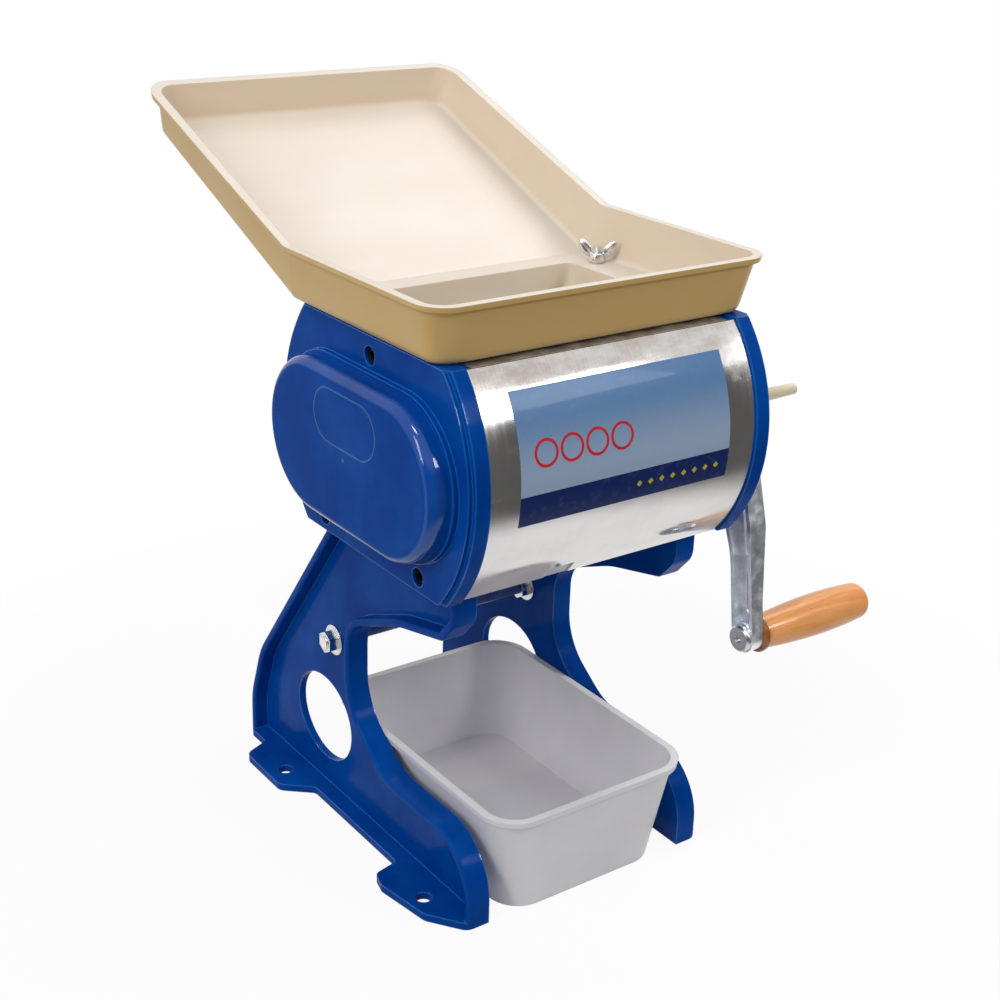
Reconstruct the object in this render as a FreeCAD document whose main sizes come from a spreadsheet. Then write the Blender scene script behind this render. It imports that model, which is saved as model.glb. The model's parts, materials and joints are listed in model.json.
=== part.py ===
import FreeCAD, Part
import math
import os
import re

import Sketcher

# Hand cranked slicer for jerky and other boneless meat.
#
# Food is put on the tray and pushed into its feed pocket. It drops between two shafts of round
# blades that a pair of gears turns against each other, and the slices fall into the box below.
#
# Axes: X runs along the shafts, with the crank at +X. The machine is fed and emptied from -Y.
# Z is up. The origin is on the table, at the centre of the four foot holes.
# Pieces are drawn about the body's axis plane (y = 0) and then moved back by body_y.

V = FreeCAD.Vector
EASY = 1.0  # how far a cutting tool reaches past the face that it breaks through
ARC_SHARE = 0.98  # how much of a side the arcs at its two ends may take up

# Driving sizes in millimetres: alias, value, meaning
SIZES = (
    ("body_half", 105, "half the length over the two end plates"),
    ("body_z", 277, "height of the body's axis above the table"),
    ("body_y", -38.5, "body axis, from the centre of the foot holes"),
    ("drum_room", 17.5, "from the blades out to the end plates' rims"),
    ("deck_room", 24, "from a blade's top up to the body's flat top"),
    ("plate_rim", 12, "thickness of an end plate's rim"),
    ("plate_step", 2.5, "height of the raised outer face of an end plate"),
    ("plate_inset", 3, "how far the raised face stands in from the rim"),
    ("register", 5, "shoulder of an end plate that the shells sit on"),
    ("shell_thick", 1, "sheet of the two shells"),
    ("shell_inset", 1.4, "how far the sheet lies below the plates' rims"),
    ("notch_x", -28.5, "centre of the notch in the front shell's lower edge"),
    ("notch_width", 17, "width of that notch"),
    ("notch_height", 9, "height of that notch"),
    ("seat_gap", 0.1, "between fixed pieces that fit into each other"),
    ("thread_gap", 0.05, "radial, between a screw and its hole"),
    ("run_gap", 0.05, "radial, between a journal and its bush"),
    ("part_gap", 0.4, "between pieces that move past each other"),
    ("shaft_span", 80, "between the axes of the two blade shafts"),
    ("shaft_drop", 1.5, "blade shafts, below the body's axis"),
    ("gear_teeth", 32, "teeth on each gear"),
    ("gear_width", 9, "face width of the gears"),
    ("gear_backlash", 0.25, "play between the teeth at the pitch circle"),
    ("journal", 8, "radius of a shaft where it turns in a bush"),
    ("hex_flats", 20, "across the flats of a shaft's middle"),
    ("square_flats", 11, "across the flats of the seats for the gear and the crank"),
    ("stub", 5, "radius of a shaft's end beside the gear"),
    ("stub_length", 3, "length of that end"),
    ("circlip", 1, "thickness of a circlip and depth of its groove"),
    ("circlip_out", 1.8, "from the gear out to the far side of that groove"),
    ("blade_overlap", 2, "how far a blade reaches past the middle plane"),
    ("blade_thick", 1.6, "thickness of a blade"),
    ("blade_pitch", 18, "from blade to blade on one shaft"),
    ("blade_count", 9, "blades on the drive shaft; the driven shaft has one fewer"),
    ("spacer_wall", 3.45, "wall of those rings at the hexagon's corners"),
    ("bush_wall", 3, "wall of a bush"),
    ("bush_flange", 2, "thickness of a bush's flange"),
    ("bush_lip", 3, "how far that flange stands out"),
    ("blind_wall", 4, "wall left beyond the blind bush seat"),
    ("comb_bar", 11, "width of a comb's bar"),
    ("comb_gap", 2.5, "between a comb's bar and the blades"),
    ("comb_lean", 40.5, "how far below level a comb points at its shaft, in degrees"),
    ("comb_end", 4, "between a comb's end and the end plate"),
    ("comb_finger", 8, "depth of a comb's fingers"),
    ("rod_radius", 3, "rods that hold the combs"),
    ("pad_edge", 2, "how far the gear cover's pad stands out from it"),
    ("pad_height", 3.5, "pad that the gear cover stands on"),
    ("cover_depth", 13.5, "height of the gear cover"),
    ("cover_wall", 2.5, "wall of the gear cover"),
    ("cover_round", 6.5, "rounded edge of the gear cover"),
    ("gear_room", 1, "around the gears inside the cover"),
    ("recess_depth", 4, "gear recess in the left end plate"),
    ("peg_radius", 3, "pegs that locate the gear cover"),
    ("peg_inset", 10, "pegs, in from the gear cover's long edges"),
    ("peg_length", 7, "length of a peg"),
    ("deck_gap", 1, "between the feed throat's top and the body's flat top"),
    ("lip_drop", 2, "lips of the feed throat, below the height of a blade's radius"),
    ("throat_half", 24, "half the width of the feed throat above the blades"),
    ("blade_room", 2, "between the blades and the feed throat"),
    ("base_thick", 15, "height of the lower frame"),
    ("drop_out", 1, "drop opening's ends, outside the stands' inner faces"),
    ("drop_half_y", 40, "half the width of the drop opening"),
    ("screw", 3, "radius of the M6 screws"),
    ("screw_head", 5, "radius of their heads"),
    ("head_height", 6, "height of their heads"),
    ("head_sink", 8, "depth of the holes that the heads lie in"),
    ("socket_flats", 5, "across the flats of their sockets"),
    ("screw_grip", 6, "length of the M6 screws inside the frames"),
    ("screw_top_drop", 11.5, "upper screws, below the flat top"),
    ("screw_low_rise", 8.7, "lower screws, above the flat bottom"),
    ("screw_low_y", 50, "lower screws, to the front and the back"),
    ("foot_reach", 22.5, "foot holes, out from a stand's inner face"),
    ("foot_span_y", 170, "between the foot holes along Y"),
    ("foot_hole", 5, "radius of a foot hole"),
    ("stand_inner", 73, "inner face of a stand"),
    ("stand_depth", 15, "depth of a stand's channel section"),
    ("stand_wall", 5, "wall of a stand"),
    ("stand_edge", 1.6, "rounded open edges of a stand"),
    ("stay_radius", 4, "M8 stay rod between the stands"),
    ("stay_y", 85.5, "stay rod, behind the body axis"),
    ("stay_z", 115, "height of the stay rod"),
    ("nut_flats", 13, "across the flats of an M8 nut"),
    ("nut_thick", 6.5, "thickness of an M8 nut"),
    ("nut_corner", 0.8, "how far a nut's corners stand out past its flats"),
    ("washer_radius", 10, "washers under the M8 nuts"),
    ("washer_thick", 1.6, "thickness of those washers"),
    ("stand_screw_front", -36, "front screw of a stand, from the body axis"),
    ("stand_screw_back", 36, "back screw of a stand, from the body axis"),
    ("stand_screw_out", 5, "stand screws, out from the web's outer face"),
    ("stand_screw", 2.5, "radius of the M5 stand screws"),
    ("bolt_flats", 8, "across the flats of a stand screw's head"),
    ("bolt_head", 3.5, "height of a stand screw's head"),
    ("window_y", 100.5, "centre of a stand's oval window, behind the body axis"),
    ("window_z", 52, "height of that centre"),
    ("window_long", 34, "half the length of the window"),
    ("window_tall", 29.5, "half its height"),
    ("arch_back", 54.5, "back of a stand's open arch"),
    ("tray_floor", 3.5, "thickness of the tray's floor"),
    ("tray_wall", 2.5, "wall of the tray"),
    ("tray_rim", 34, "body top up to the rim of the tray's level part"),
    ("tray_lip", 3, "rim, out from the wall"),
    ("tray_lip_thick", 3.2, "thickness of the rim"),
    ("tray_over", 0.5, "inside of the tray at its floor, out from an end plate's face"),
    ("tray_flare", 5.5, "how far a side wall leans out"),
    ("tray_front", -66.5, "front edge of the tray's floor"),
    ("tray_bend", 79.5, "where the floor starts to rise"),
    ("tray_back", 253.5, "back edge of the ramp"),
    ("tray_slope", 21.8, "slope of the ramp's floor in degrees"),
    ("tray_shallow", 6.3, "how much shallower the tray is at its back edge"),
    ("tray_corner", 15, "radius of the tray's corners"),
    ("tray_round", 4, "radius along the edges of its floor"),
    ("pocket_end", 8.5, "between the feed pocket's end and an end plate's inner face"),
    ("pocket_front", -56.5, "front edge of the feed pocket"),
    ("pocket_back", 62, "back edge of the feed pocket"),
    ("pocket_depth", 17, "depth of the feed pocket"),
    ("pocket_taper", 1.5, "how far the pocket's walls draw in"),
    ("pocket_wall", 2, "wall of the feed pocket"),
    ("pocket_corner", 5, "radius of the pocket's corners"),
    ("stud_in", 1.5, "stud of the wing nut, out from the rim's inner face"),
    ("stud_y", 54.5, "stud of the wing nut, behind the body axis"),
    ("stud_radius", 2.5, "M5 stud"),
    ("stud_depth", 15, "stud inside the end plate"),
    ("stud_rise", 13, "stud above the end plate"),
    ("wing_hub", 5.5, "radius of the wing nut's foot"),
    ("wing_hub_height", 6, "height of its body"),
    ("wing_span", 12, "from its axis to a wing's tip"),
    ("wing_height", 14, "height of the wing nut"),
    ("wing_thick", 2.4, "thickness of its wings"),
    ("wing_turn", -47, "how far the wings are turned, in degrees"),
    ("tub_gap", 0.7, "between the collecting box's rim and a stand"),
    ("tub_front", -93.5, "front of the box's rim, from the body axis"),
    ("tub_back", 107.5, "back of the box's rim"),
    ("tub_height", 68, "height of the box"),
    ("tub_wall", 2, "wall of the box"),
    ("tub_taper", 10.5, "how far its side walls draw in towards the bottom"),
    ("tub_slope", 8, "how far its front and back walls draw in"),
    ("tub_lip", 3, "width of its rim"),
    ("tub_lip_thick", 4, "height of its rim"),
    ("tub_corner", 24, "radius of its corners"),
    ("sweep_gap", 1, "between the tray's rim and the handle bolt's head as it passes"),
    ("arm_thin", 9.5, "thickness of the arm at the handle"),
    ("arm_thick", 13, "thickness of the arm above its bend"),
    ("arm_rib", 3, "ribs along the edges of the arm"),
    ("arm_web", 3.5, "web between the ribs"),
    ("hub_radius", 15, "hub of the arm"),
    ("boss_radius", 12.5, "boss between the hub and the end plate"),
    ("hub_gap", 1.5, "between the hub and the end plate"),
    ("pin_y", -36.1, "handle bolt, from the drive shaft"),
    ("pin_z", -143.4, "handle bolt, from the drive shaft"),
    ("pin_end", 9.5, "radius of the arm's lower end"),
    ("bolt_radius", 4, "shank of the handle bolt"),
    ("disc_radius", 8.75, "head of the handle bolt"),
    ("disc_thick", 3.5, "thickness of that head"),
    ("collar_radius", 12, "collar between the arm and the handle"),
    ("collar_thick", 4.5, "thickness of that collar"),
    ("grip_length", 91, "length of the handle"),
    ("grip_near", 10.5, "radius of the handle beside the collar"),
    ("grip_max", 13.5, "largest radius of the handle"),
    ("grip_far", 11.8, "radius of the handle near its end"),
    ("grip_sink", 12, "depth of the hole for the handle's nut"),
    ("grip_bore", 7.6, "radius of that hole"),
    ("knob_length", 49, "length of the crank's retaining knob"),
    ("knob_foot", 9, "radius of its foot"),
    ("knob_foot_length", 5, "length of its foot"),
    ("knob_cone", 8, "from the arm out to where the stem starts"),
    ("knob_near", 4.5, "radius of its stem at the foot"),
    ("knob_far", 3.5, "radius of its stem at the end"),
    ("knob_thread", 10, "depth of the thread in the knob"),
    ("end_thread", 4, "radius of the thread on the drive shaft's end"),
    ("socket", 2.6, "radius of the socket in the handle bolt's head"),
    ("socket_depth", 2.2, "depth of that socket"),
    ("edge_turn", 1.2, "turned edge of the bolt's head and of the collar"),
)

# Sizes that follow from the driving ones
DERIVED = (
    ("blade_radius", "shaft_span / 2 + blade_overlap"),
    ("plate_radius", "shaft_span / 2 + blade_radius + drum_room"),
    ("body_rise", "blade_radius + deck_room"),
    ("shaft_z", "body_z - shaft_drop"),
    ("rim_inner", "body_half - plate_rim"),
    ("plate_inner", "rim_inner - register"),
    ("shell_radius", "plate_radius - shell_inset"),
    ("lining_radius", "shell_radius - shell_thick - seat_gap"),
    ("body_top", "body_z + body_rise"),
    ("body_low", "body_z - body_rise"),
    ("shaft_y", "shaft_span / 2"),
    ("gear_module", "shaft_span / gear_teeth"),
    ("gear_outer", "shaft_y + gear_module"),
    ("gear_space", "gear_outer + gear_room"),
    ("recess_floor", "body_half + pad_height - recess_depth"),
    ("gear_inner", "recess_floor + gear_room"),
    ("gear_face", "gear_inner + gear_width"),
    ("cover_seat", "body_half + pad_height"),
    ("cover_radius", "gear_space + cover_wall"),
    ("pad_radius", "cover_radius + pad_edge"),
    ("peg_rise", "cover_radius - peg_inset"),
    ("cover_face", "cover_seat + cover_depth"),
    ("bush_outer", "journal + run_gap + bush_wall"),
    ("bush_face", "plate_inner - bush_flange"),
    ("hex_half", "bush_face - part_gap"),
    ("spacer_radius", "hex_flats / 2 / cos(30) + spacer_wall"),
    ("comb_reach", "blade_radius + comb_gap + comb_bar / 2"),
    ("comb_y", "comb_reach * cos(comb_lean)"),
    ("comb_z", "comb_reach * sin(comb_lean)"),
    ("comb_half", "plate_inner - comb_end"),
    ("tray_half", "body_half + tray_over"),
    ("arm_inner", "tray_half + tray_wall + tray_flare + tray_lip + sweep_gap + disc_thick"),
    ("hub_inner", "body_half + hub_gap"),
    ("arm_outer", "arm_inner + arm_thick"),
    ("deck_top", "body_rise - deck_gap"),
    ("deck_low", "blade_radius - lip_drop"),
    ("lip_z", "body_z + deck_low"),
    ("screw_top", "body_rise - screw_top_drop"),
    ("screw_low_z", "body_rise - screw_low_rise"),
    ("pocket_half", "plate_inner - pocket_end"),
    ("stud_x", "rim_inner + stud_in"),
    ("foot_span_x", "2 * (stand_inner + foot_reach)"),
    ("drop_half_x", "stand_inner + drop_out"),
    ("stand_screw_x", "stand_inner + stand_wall + stand_screw_out"),
    ("pocket_z", "body_top + tray_floor - pocket_depth"),
    ("tub_half", "stand_inner - tub_gap"),
    ("hole_back", "foot_span_y / 2 - body_y"),
    ("hole_front", "-foot_span_y / 2 - body_y"),
    ("disc_face", "arm_inner - disc_thick"),
    ("collar_face", "arm_inner + arm_thin"),
    ("grip_face", "collar_face + collar_thick"),
    ("grip_floor", "grip_face + grip_length - grip_sink"),
    ("bolt_end", "grip_floor + nut_thick + 1"),
    ("knob_end", "arm_outer + knob_length"),
    ("arm_length", "sqrt(pin_y ^ 2 + pin_z ^ 2)"),
    ("crank_y", "-shaft_y + pin_y"),
    ("crank_z", "shaft_z + pin_z"),
)

NUMBERED = {"gear_teeth", "blade_count"}

doc = FreeCAD.newDocument("slicer")
sheet = doc.addObject("Spreadsheet::Sheet", "Dims")
size = {}
nodes = {}


# ---------------------------------------------------------------- the sheet and its bindings


def fill_sheet():
    """Write every driving and derived size into the sheet and read the numbers back."""
    for row, (alias, value, meaning) in enumerate(SIZES, 1):
        sheet.set(f"A{row}", str(value))
        sheet.setAlias(f"A{row}", alias)
        sheet.set(f"B{row}", meaning)
    for row, (alias, formula) in enumerate(DERIVED, len(SIZES) + 1):
        sheet.set(f"A{row}", f"={formula}")
        sheet.setAlias(f"A{row}", alias)
    doc.recompute()
    for alias in [entry[0] for entry in SIZES + DERIVED]:
        size[alias] = float(sheet.get(alias))
    for alias in NUMBERED:
        size[alias] = int(size[alias])


def measure(formula):
    """The number that a formula in aliases gives, worked out in a spare cell of the sheet."""
    sheet.set("D1", f"={formula}")
    sheet.recompute()
    return float(sheet.get("D1"))


def linked(formula):
    """A formula in aliases, with each alias pointed at the sheet."""
    return re.sub(r"[a-z][a-z_]+\b(?!\()", r"Dims.\g<0>", formula)


def bind(obj, **formulas):
    """Tie properties to formulas. A double underscore in a name stands for a dot."""
    for name, formula in formulas.items():
        obj.setExpression(name.replace("__", "."), linked(formula))
    return obj


TURNS = {
    "x": FreeCAD.Rotation(V(0, 1, 0), 90),
    "y": FreeCAD.Rotation(V(1, 0, 0), -90),
    "z": FreeCAD.Rotation(),
}


def put(obj, at, along="z"):
    """Place an object at a point given as three formulas, with its own Z along an axis."""
    obj.Placement.Rotation = TURNS[along]
    return bind(obj, Placement__Base__x=at[0], Placement__Base__y=at[1], Placement__Base__z=at[2])


# ---------------------------------------------------------------- primitives and booleans


def cylinder(radius, length, at, along="x"):
    """A round bar that starts at a point and runs along an axis."""
    bar = bind(doc.addObject("Part::Cylinder", "bar"), Radius=radius, Height=length)
    return put(bar, at, along)


def prism(flats, length, at, along="x", sides=6):
    """A bar with flats, such as a hexagon or a square, by its size across them."""
    bar = doc.addObject("Part::Prism", "flat_bar")
    bar.Polygon = sides
    bind(bar, Circumradius=f"({flats}) / 2 / cos({180 / sides})", Height=length)
    return put(bar, at, along)


def box(lengths, low):
    """A block by its three lengths and its lowest corner."""
    block = doc.addObject("Part::Box", "block")
    bind(block, Length=lengths[0], Width=lengths[1], Height=lengths[2])
    return put(block, low)


def fuse(*pieces):
    """One solid of several that touch or overlap."""
    whole = doc.addObject("Part::MultiFuse", "whole")
    whole.Shapes = list(pieces)
    whole.Refine = True
    return whole


def common(one, other):
    """What two solids share."""
    both = doc.addObject("Part::Common", "both")
    both.Base, both.Tool = one, other
    return both


def cut(base, *tools):
    """A solid with others taken away from it."""
    left = doc.addObject("Part::Cut", "left")
    left.Base = base
    left.Tool = tools[0] if len(tools) == 1 else fuse(*tools)
    left.Refine = True
    return left


def group(*solids):
    """Separate solids that share one node."""
    several = doc.addObject("Part::Compound", "several")
    several.Links = list(solids)
    return several


def rounded(base, radius, wanted):
    """Fillet the edges of a solid that a test picks out."""
    doc.recompute()
    edges = [i for i, edge in enumerate(base.Shape.Edges, 1) if wanted(edge)]
    if not edges:
        raise RuntimeError(f"no edge of {base.Name} to round")
    soft = doc.addObject("Part::Fillet", "soft")
    soft.Base = base
    soft.Edges = [(i, size[radius], size[radius]) for i in edges]
    return soft


def feature(shape):
    """A shape made with Part's own functions, as an object that can be placed as a whole."""
    made = doc.addObject("Part::Feature", "made")
    made.Shape = Part.makeCompound([shape])
    return made


def node(name, obj, turn=0):
    """Name a finished sub-part and move it back to the body's place."""
    obj.Label = name
    obj.Placement = FreeCAD.Placement(V(0, 0, 0), FreeCAD.Rotation(V(0, 0, 1), turn))
    bind(obj, Placement__Base__y="body_y")
    nodes[name] = obj
    return obj


# ---------------------------------------------------------------- outlines


def unit(vector):
    return V(vector) * (1 / vector.Length)


def outline(corners):
    """A closed wire through corners, each (point, radius), with tangent arcs at the rounded ones.

    Where a side is too short for the arcs at its two ends, both get smaller.
    """
    points = [point for point, _ in corners]
    count = len(points)
    halves, reaches = [], []
    for i, (point, radius) in enumerate(corners):
        back = unit(points[i - 1] - point)
        ahead = unit(points[(i + 1) % count] - point)
        half = math.acos(max(-1.0, min(1.0, back.dot(ahead)))) / 2
        halves.append(half)
        reaches.append(radius / math.tan(half) if radius else 0)
    shares = []
    for i, reach in enumerate(reaches):
        room = ARC_SHARE * (points[(i + 1) % count] - points[i]).Length
        shares.append(min(1, room / max(reach + reaches[(i + 1) % count], EASY)))
    runs = []
    for i, point in enumerate(points):
        reach = reaches[i] * min(shares[i - 1], shares[i])
        if not reach:
            runs.append((point, None, point))
            continue
        back = unit(points[i - 1] - point)
        ahead = unit(points[(i + 1) % count] - point)
        radius = reach * math.tan(halves[i])
        middle = point + unit(back + ahead) * (radius / math.sin(halves[i]) - radius)
        runs.append((point + back * reach, middle, point + ahead * reach))
    edges = []
    for i, (start, middle, end) in enumerate(runs):
        if middle is not None:
            edges.append(Part.Arc(start, middle, end).toShape())
        follow = runs[(i + 1) % len(runs)][0]
        if (follow - end).Length > 1e-6:
            edges.append(Part.LineSegment(end, follow).toShape())
    return Part.Wire(edges)


def side_wire(x, corners):
    """An outline in a plane across X, from (y, z, radius) corners."""
    return outline([(V(x, y, z), radius) for y, z, radius in corners])


def slab(wire, along):
    """The face inside a wire, pulled along a vector into a solid."""
    return Part.Face(wire).extrude(along)


def rectangle(half_x, front, back, z, radius):
    """A level rectangle with rounded corners."""
    corners = [(-half_x, front), (half_x, front), (half_x, back), (-half_x, back)]
    return outline([(V(x, y, z), radius) for x, y in corners])


def bar_along_x(radius, x_low, x_high, y, z):
    """A round solid along X for shapes made with Part's functions."""
    return Part.makeCylinder(radius, x_high - x_low, V(x_low, y, z), V(1, 0, 0))


def flat_bar(flats, x_low, x_high, y, z, sides=6):
    """A solid with flats along X, with a corner straight below its axis as a prism has."""
    corner = flats / 2 / math.cos(math.pi / sides)
    turns = [2 * math.pi * i / sides - math.pi / 2 for i in range(sides + 1)]
    points = [V(x_low, y + corner * math.cos(turn), z + corner * math.sin(turn)) for turn in turns]
    return slab(Part.makePolygon(points), V(x_high - x_low, 0, 0))


# ---------------------------------------------------------------- housing


def body_disc(radius, x_low, length, rise):
    """A round slab with a flat top and bottom, as every cross-section of the body."""
    disc = cylinder(radius, length, (x_low, "0", "body_z"))
    block = box(
        (length, "2 * plate_radius", f"2 * ({rise})"),
        (x_low, "-plate_radius", f"body_z - ({rise})"),
    )
    return common(disc, block)


def screw_holes():
    """Holes for the three plate screws, with deep sinks for their heads, in the right plate."""
    holes = []
    for y, z in (
        ("0", "body_z + screw_top"),
        ("-screw_low_y", "body_z - screw_low_z"),
        ("screw_low_y", "body_z - screw_low_z"),
    ):
        bore = "plate_rim + register + 2"
        holes.append(cylinder("screw + thread_gap", bore, ("plate_inner - 1", y, z)))
        sink = ("body_half - head_sink", y, z)
        holes.append(cylinder("screw_head + part_gap", "head_sink + 1", sink))
    return holes


def stadium(radius, length, x_low):
    """A slab with two round ends, one about each blade shaft."""
    ends = [cylinder(radius, length, (x_low, y, "shaft_z")) for y in ("-shaft_y", "shaft_y")]
    middle = box((length, "shaft_span", f"2 * ({radius})"), (x_low, "-shaft_y", f"shaft_z - ({radius})"))
    return fuse(middle, *ends)


def comb_rod_holes():
    """Blind seats for the comb rods in the inner face of a plate."""
    places = (("-shaft_y - comb_y", "shaft_z - comb_z"), ("shaft_y + comb_y", "shaft_z - comb_z"))
    return [
        cylinder("rod_radius + thread_gap", "register + 1", ("plate_inner - 1", y, z))
        for y, z in places
    ]


def plate_blank():
    """What both end plates share: rim, raised face and shell shoulder, drawn for the right side."""
    rim = body_disc("plate_radius", "rim_inner", "plate_rim - plate_step", "body_rise")
    face = body_disc("plate_radius - plate_inset", "body_half - plate_step", "plate_step", "body_rise")
    shoulder = body_disc("lining_radius", "plate_inner", "register", "body_rise - shell_thick")
    return fuse(rim, face, shoulder)


def bush_seat(y, length, x_low="plate_inner - 1"):
    return cylinder("bush_outer + seat_gap", length, (x_low, y, "shaft_z"))


def right_end_plate():
    """The plate on the crank side: one bush seat goes through, the other is blind."""
    through = bush_seat("-shaft_y", "plate_rim + register + 2")
    blind = bush_seat("shaft_y", "plate_rim + register + 1 - blind_wall")
    stud = cylinder(
        "stud_radius + thread_gap", "stud_depth + 1", ("stud_x", "stud_y", "body_top - stud_depth"), "z"
    )
    holes = screw_holes() + comb_rod_holes()
    return node("right_end_plate", cut(plate_blank(), through, blind, stud, *holes))


def left_end_plate():
    """The plate on the gear side, drawn for the right and turned round."""
    pad = stadium("pad_radius", "pad_height", "body_half")
    recess = stadium("gear_space", "recess_depth + 1", "recess_floor")
    seats = [bush_seat(y, "plate_rim + register + 2") for y in ("-shaft_y", "shaft_y")]
    pegs = [
        cylinder("peg_radius + thread_gap", "peg_length + 1", ("cover_seat - peg_length", "0", z))
        for z in ("shaft_z - peg_rise", "shaft_z + peg_rise")
    ]
    tools = [recess] + seats + pegs + screw_holes() + comb_rod_holes()
    return node("left_end_plate", cut(fuse(plate_blank(), pad), *tools), turn=180)


def sheet_ring():
    """The body's wrap of sheet, all the way round between the plates' rims."""
    span = ("-rim_inner", "0", "body_z")
    outer = cylinder("shell_radius", "2 * rim_inner", span)
    inner = cylinder("shell_radius - shell_thick", "2 * rim_inner + 2", ("-rim_inner - 1", "0", "body_z"))
    return cut(outer, inner)


def shell(front):
    """One curved sheet, from the body's flat top round to its flat bottom."""
    low_y = "-plate_radius" if front else "0"
    side = box(
        ("2 * rim_inner", "plate_radius", "2 * (body_rise - shell_thick)"),
        ("-rim_inner", low_y, "body_low + shell_thick"),
    )
    return common(sheet_ring(), side)


def front_shell():
    """The front sheet has one small notch in its lower edge."""
    notch = box(
        ("notch_width", "plate_radius", "notch_height"),
        ("notch_x - notch_width / 2", "-plate_radius", "body_low"),
    )
    return node("front_shell", cut(shell(True), notch))


def rear_shell():
    return node("rear_shell", shell(False))


def feed_throat():
    """The block under the tray that guides food down between the blades."""
    blank = body_disc("lining_radius - seat_gap", "-plate_inner", "2 * plate_inner", "deck_top")
    lower = box(
        ("2 * plate_inner", "2 * plate_radius", "deck_top + deck_low + 1"),
        ("-plate_inner", "-plate_radius", "body_z - deck_top - 1"),
    )
    blades = [
        cylinder("blade_radius + blade_room", "2 * plate_inner + 2", ("-plate_inner - 1", y, "shaft_z"))
        for y in ("-shaft_y", "shaft_y")
    ]
    pocket = feature(pocket_solid(size["pocket_wall"] + size["seat_gap"], EASY))
    screw_seats = [
        cylinder("screw + thread_gap", "screw_grip + 1", (x, "0", "body_z + screw_top"))
        for x in ("plate_inner - screw_grip", "-plate_inner - 1")
    ]
    funnel = feature(funnel_solid())
    block = cut(blank, lower, *blades)
    return node("feed_throat", cut(block, fuse(pocket, funnel), *screw_seats))


def funnel_solid():
    """The space that narrows from the pocket's mouth to the gap between the shafts."""
    half = size["pocket_half"] - size["pocket_taper"]
    top = rectangle(
        half,
        size["pocket_front"] + size["pocket_taper"],
        size["pocket_back"] - size["pocket_taper"],
        size["pocket_z"] + EASY,
        size["pocket_corner"],
    )
    low = rectangle(
        half, -size["throat_half"], size["throat_half"], size["lip_z"] - EASY, size["pocket_corner"]
    )
    return Part.makeLoft([low, top], True, True)


def lower_frame():
    """The frame under the blades, open in the middle, that stands on the two stands."""
    blank = body_disc("lining_radius - seat_gap", "-plate_inner", "2 * plate_inner", "body_rise")
    upper = box(
        ("2 * plate_inner", "2 * plate_radius", "2 * body_rise"),
        ("-plate_inner", "-plate_radius", "body_low + base_thick"),
    )
    drop = box(
        ("2 * drop_half_x", "2 * drop_half_y", "base_thick + 2"),
        ("-drop_half_x", "-drop_half_y", "body_low - 1"),
    )
    ends = []
    for y in ("-screw_low_y", "screw_low_y"):
        for x in ("plate_inner - 2 * screw_grip", "-plate_inner - 1"):
            place = (x, y, "body_z - screw_low_z")
            ends.append(cylinder("screw + thread_gap", "2 * screw_grip + 1", place))
    feet = [
        cylinder("stand_screw + thread_gap", "base_thick + 2", (x, y, "body_low - 1"), "z")
        for x in ("stand_screw_x", "-stand_screw_x")
        for y in ("stand_screw_front", "stand_screw_back")
    ]
    return node("lower_frame", cut(blank, upper, drop, *ends, *feet))


def socket_screw(x_head, y, z, grip, way):
    """An M6 socket screw along X, its head at x_head and its shank towards the body."""
    if way > 0:
        head_low, shank_low, socket_low = x_head, f"{x_head} - ({grip})", f"{x_head} + head_height / 2"
    else:
        head_low, shank_low, socket_low = f"{x_head} - head_height", x_head, f"{x_head} - head_height - 1"
    head = cylinder("screw_head", "head_height", (head_low, y, z))
    shank = cylinder("screw", grip, (shank_low, y, z))
    socket = prism("socket_flats", "head_height / 2 + 1", (socket_low, y, z))
    return cut(fuse(head, shank), socket)


def plate_screws():
    """The six screws that hold the end plates to the feed throat and the lower frame."""
    seat = "body_half - head_sink"
    through = "plate_rim + register - head_sink"
    screws = []
    for way, x_head in ((1, seat), (-1, f"-({seat})")):
        screws.append(socket_screw(x_head, "0", "body_z + screw_top", f"{through} + screw_grip", way))
        for y in ("-screw_low_y", "screw_low_y"):
            grip = f"{through} + 2 * screw_grip"
            screws.append(socket_screw(x_head, y, "body_z - screw_low_z", grip, way))
    return node("plate_screws", group(*screws))


def gear_cover():
    """The cap over the gears, with pegs that push into the left end plate."""
    shell_outer = rounded(
        stadium("cover_radius", "cover_depth", "cover_seat"),
        "cover_round",
        lambda edge: edge.BoundBox.XMin > size["cover_face"] - 0.01,
    )
    hollow = stadium("cover_radius - cover_wall", "cover_depth - cover_wall + 1", "cover_seat - 1")
    pegs = [
        cylinder("peg_radius", "peg_length + cover_depth - cover_wall", ("cover_seat - peg_length", "0", z))
        for z in ("shaft_z - peg_rise", "shaft_z + peg_rise")
    ]
    return node("gear_cover", fuse(cut(shell_outer, hollow), *pegs), turn=180)


# ---------------------------------------------------------------- cutter


def bush(y, x_high, way=1):
    """A flanged bush; way is +1 for the right plate and -1 for the left one."""
    length = f"{x_high} - plate_inner"
    tube_low = "plate_inner" if way > 0 else f"-({x_high})"
    flange_low = "bush_face" if way > 0 else "-plate_inner"
    bore_low = "bush_face - 1" if way > 0 else f"-({x_high}) - 1"
    tube = cylinder("bush_outer", length, (tube_low, y, "shaft_z"))
    flange = cylinder("bush_outer + bush_lip", "bush_flange", (flange_low, y, "shaft_z"))
    bore = cylinder("journal + run_gap", f"{x_high} - bush_face + 2", (bore_low, y, "shaft_z"))
    return cut(fuse(tube, flange), bore)


def right_bushes():
    blind_end = "body_half - blind_wall"
    return node("right_bushes", group(bush("-shaft_y", "body_half"), bush("shaft_y", blind_end)))


def left_bushes():
    return node(
        "left_bushes", group(*[bush(y, "recess_floor", -1) for y in ("-shaft_y", "shaft_y")])
    )


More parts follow.
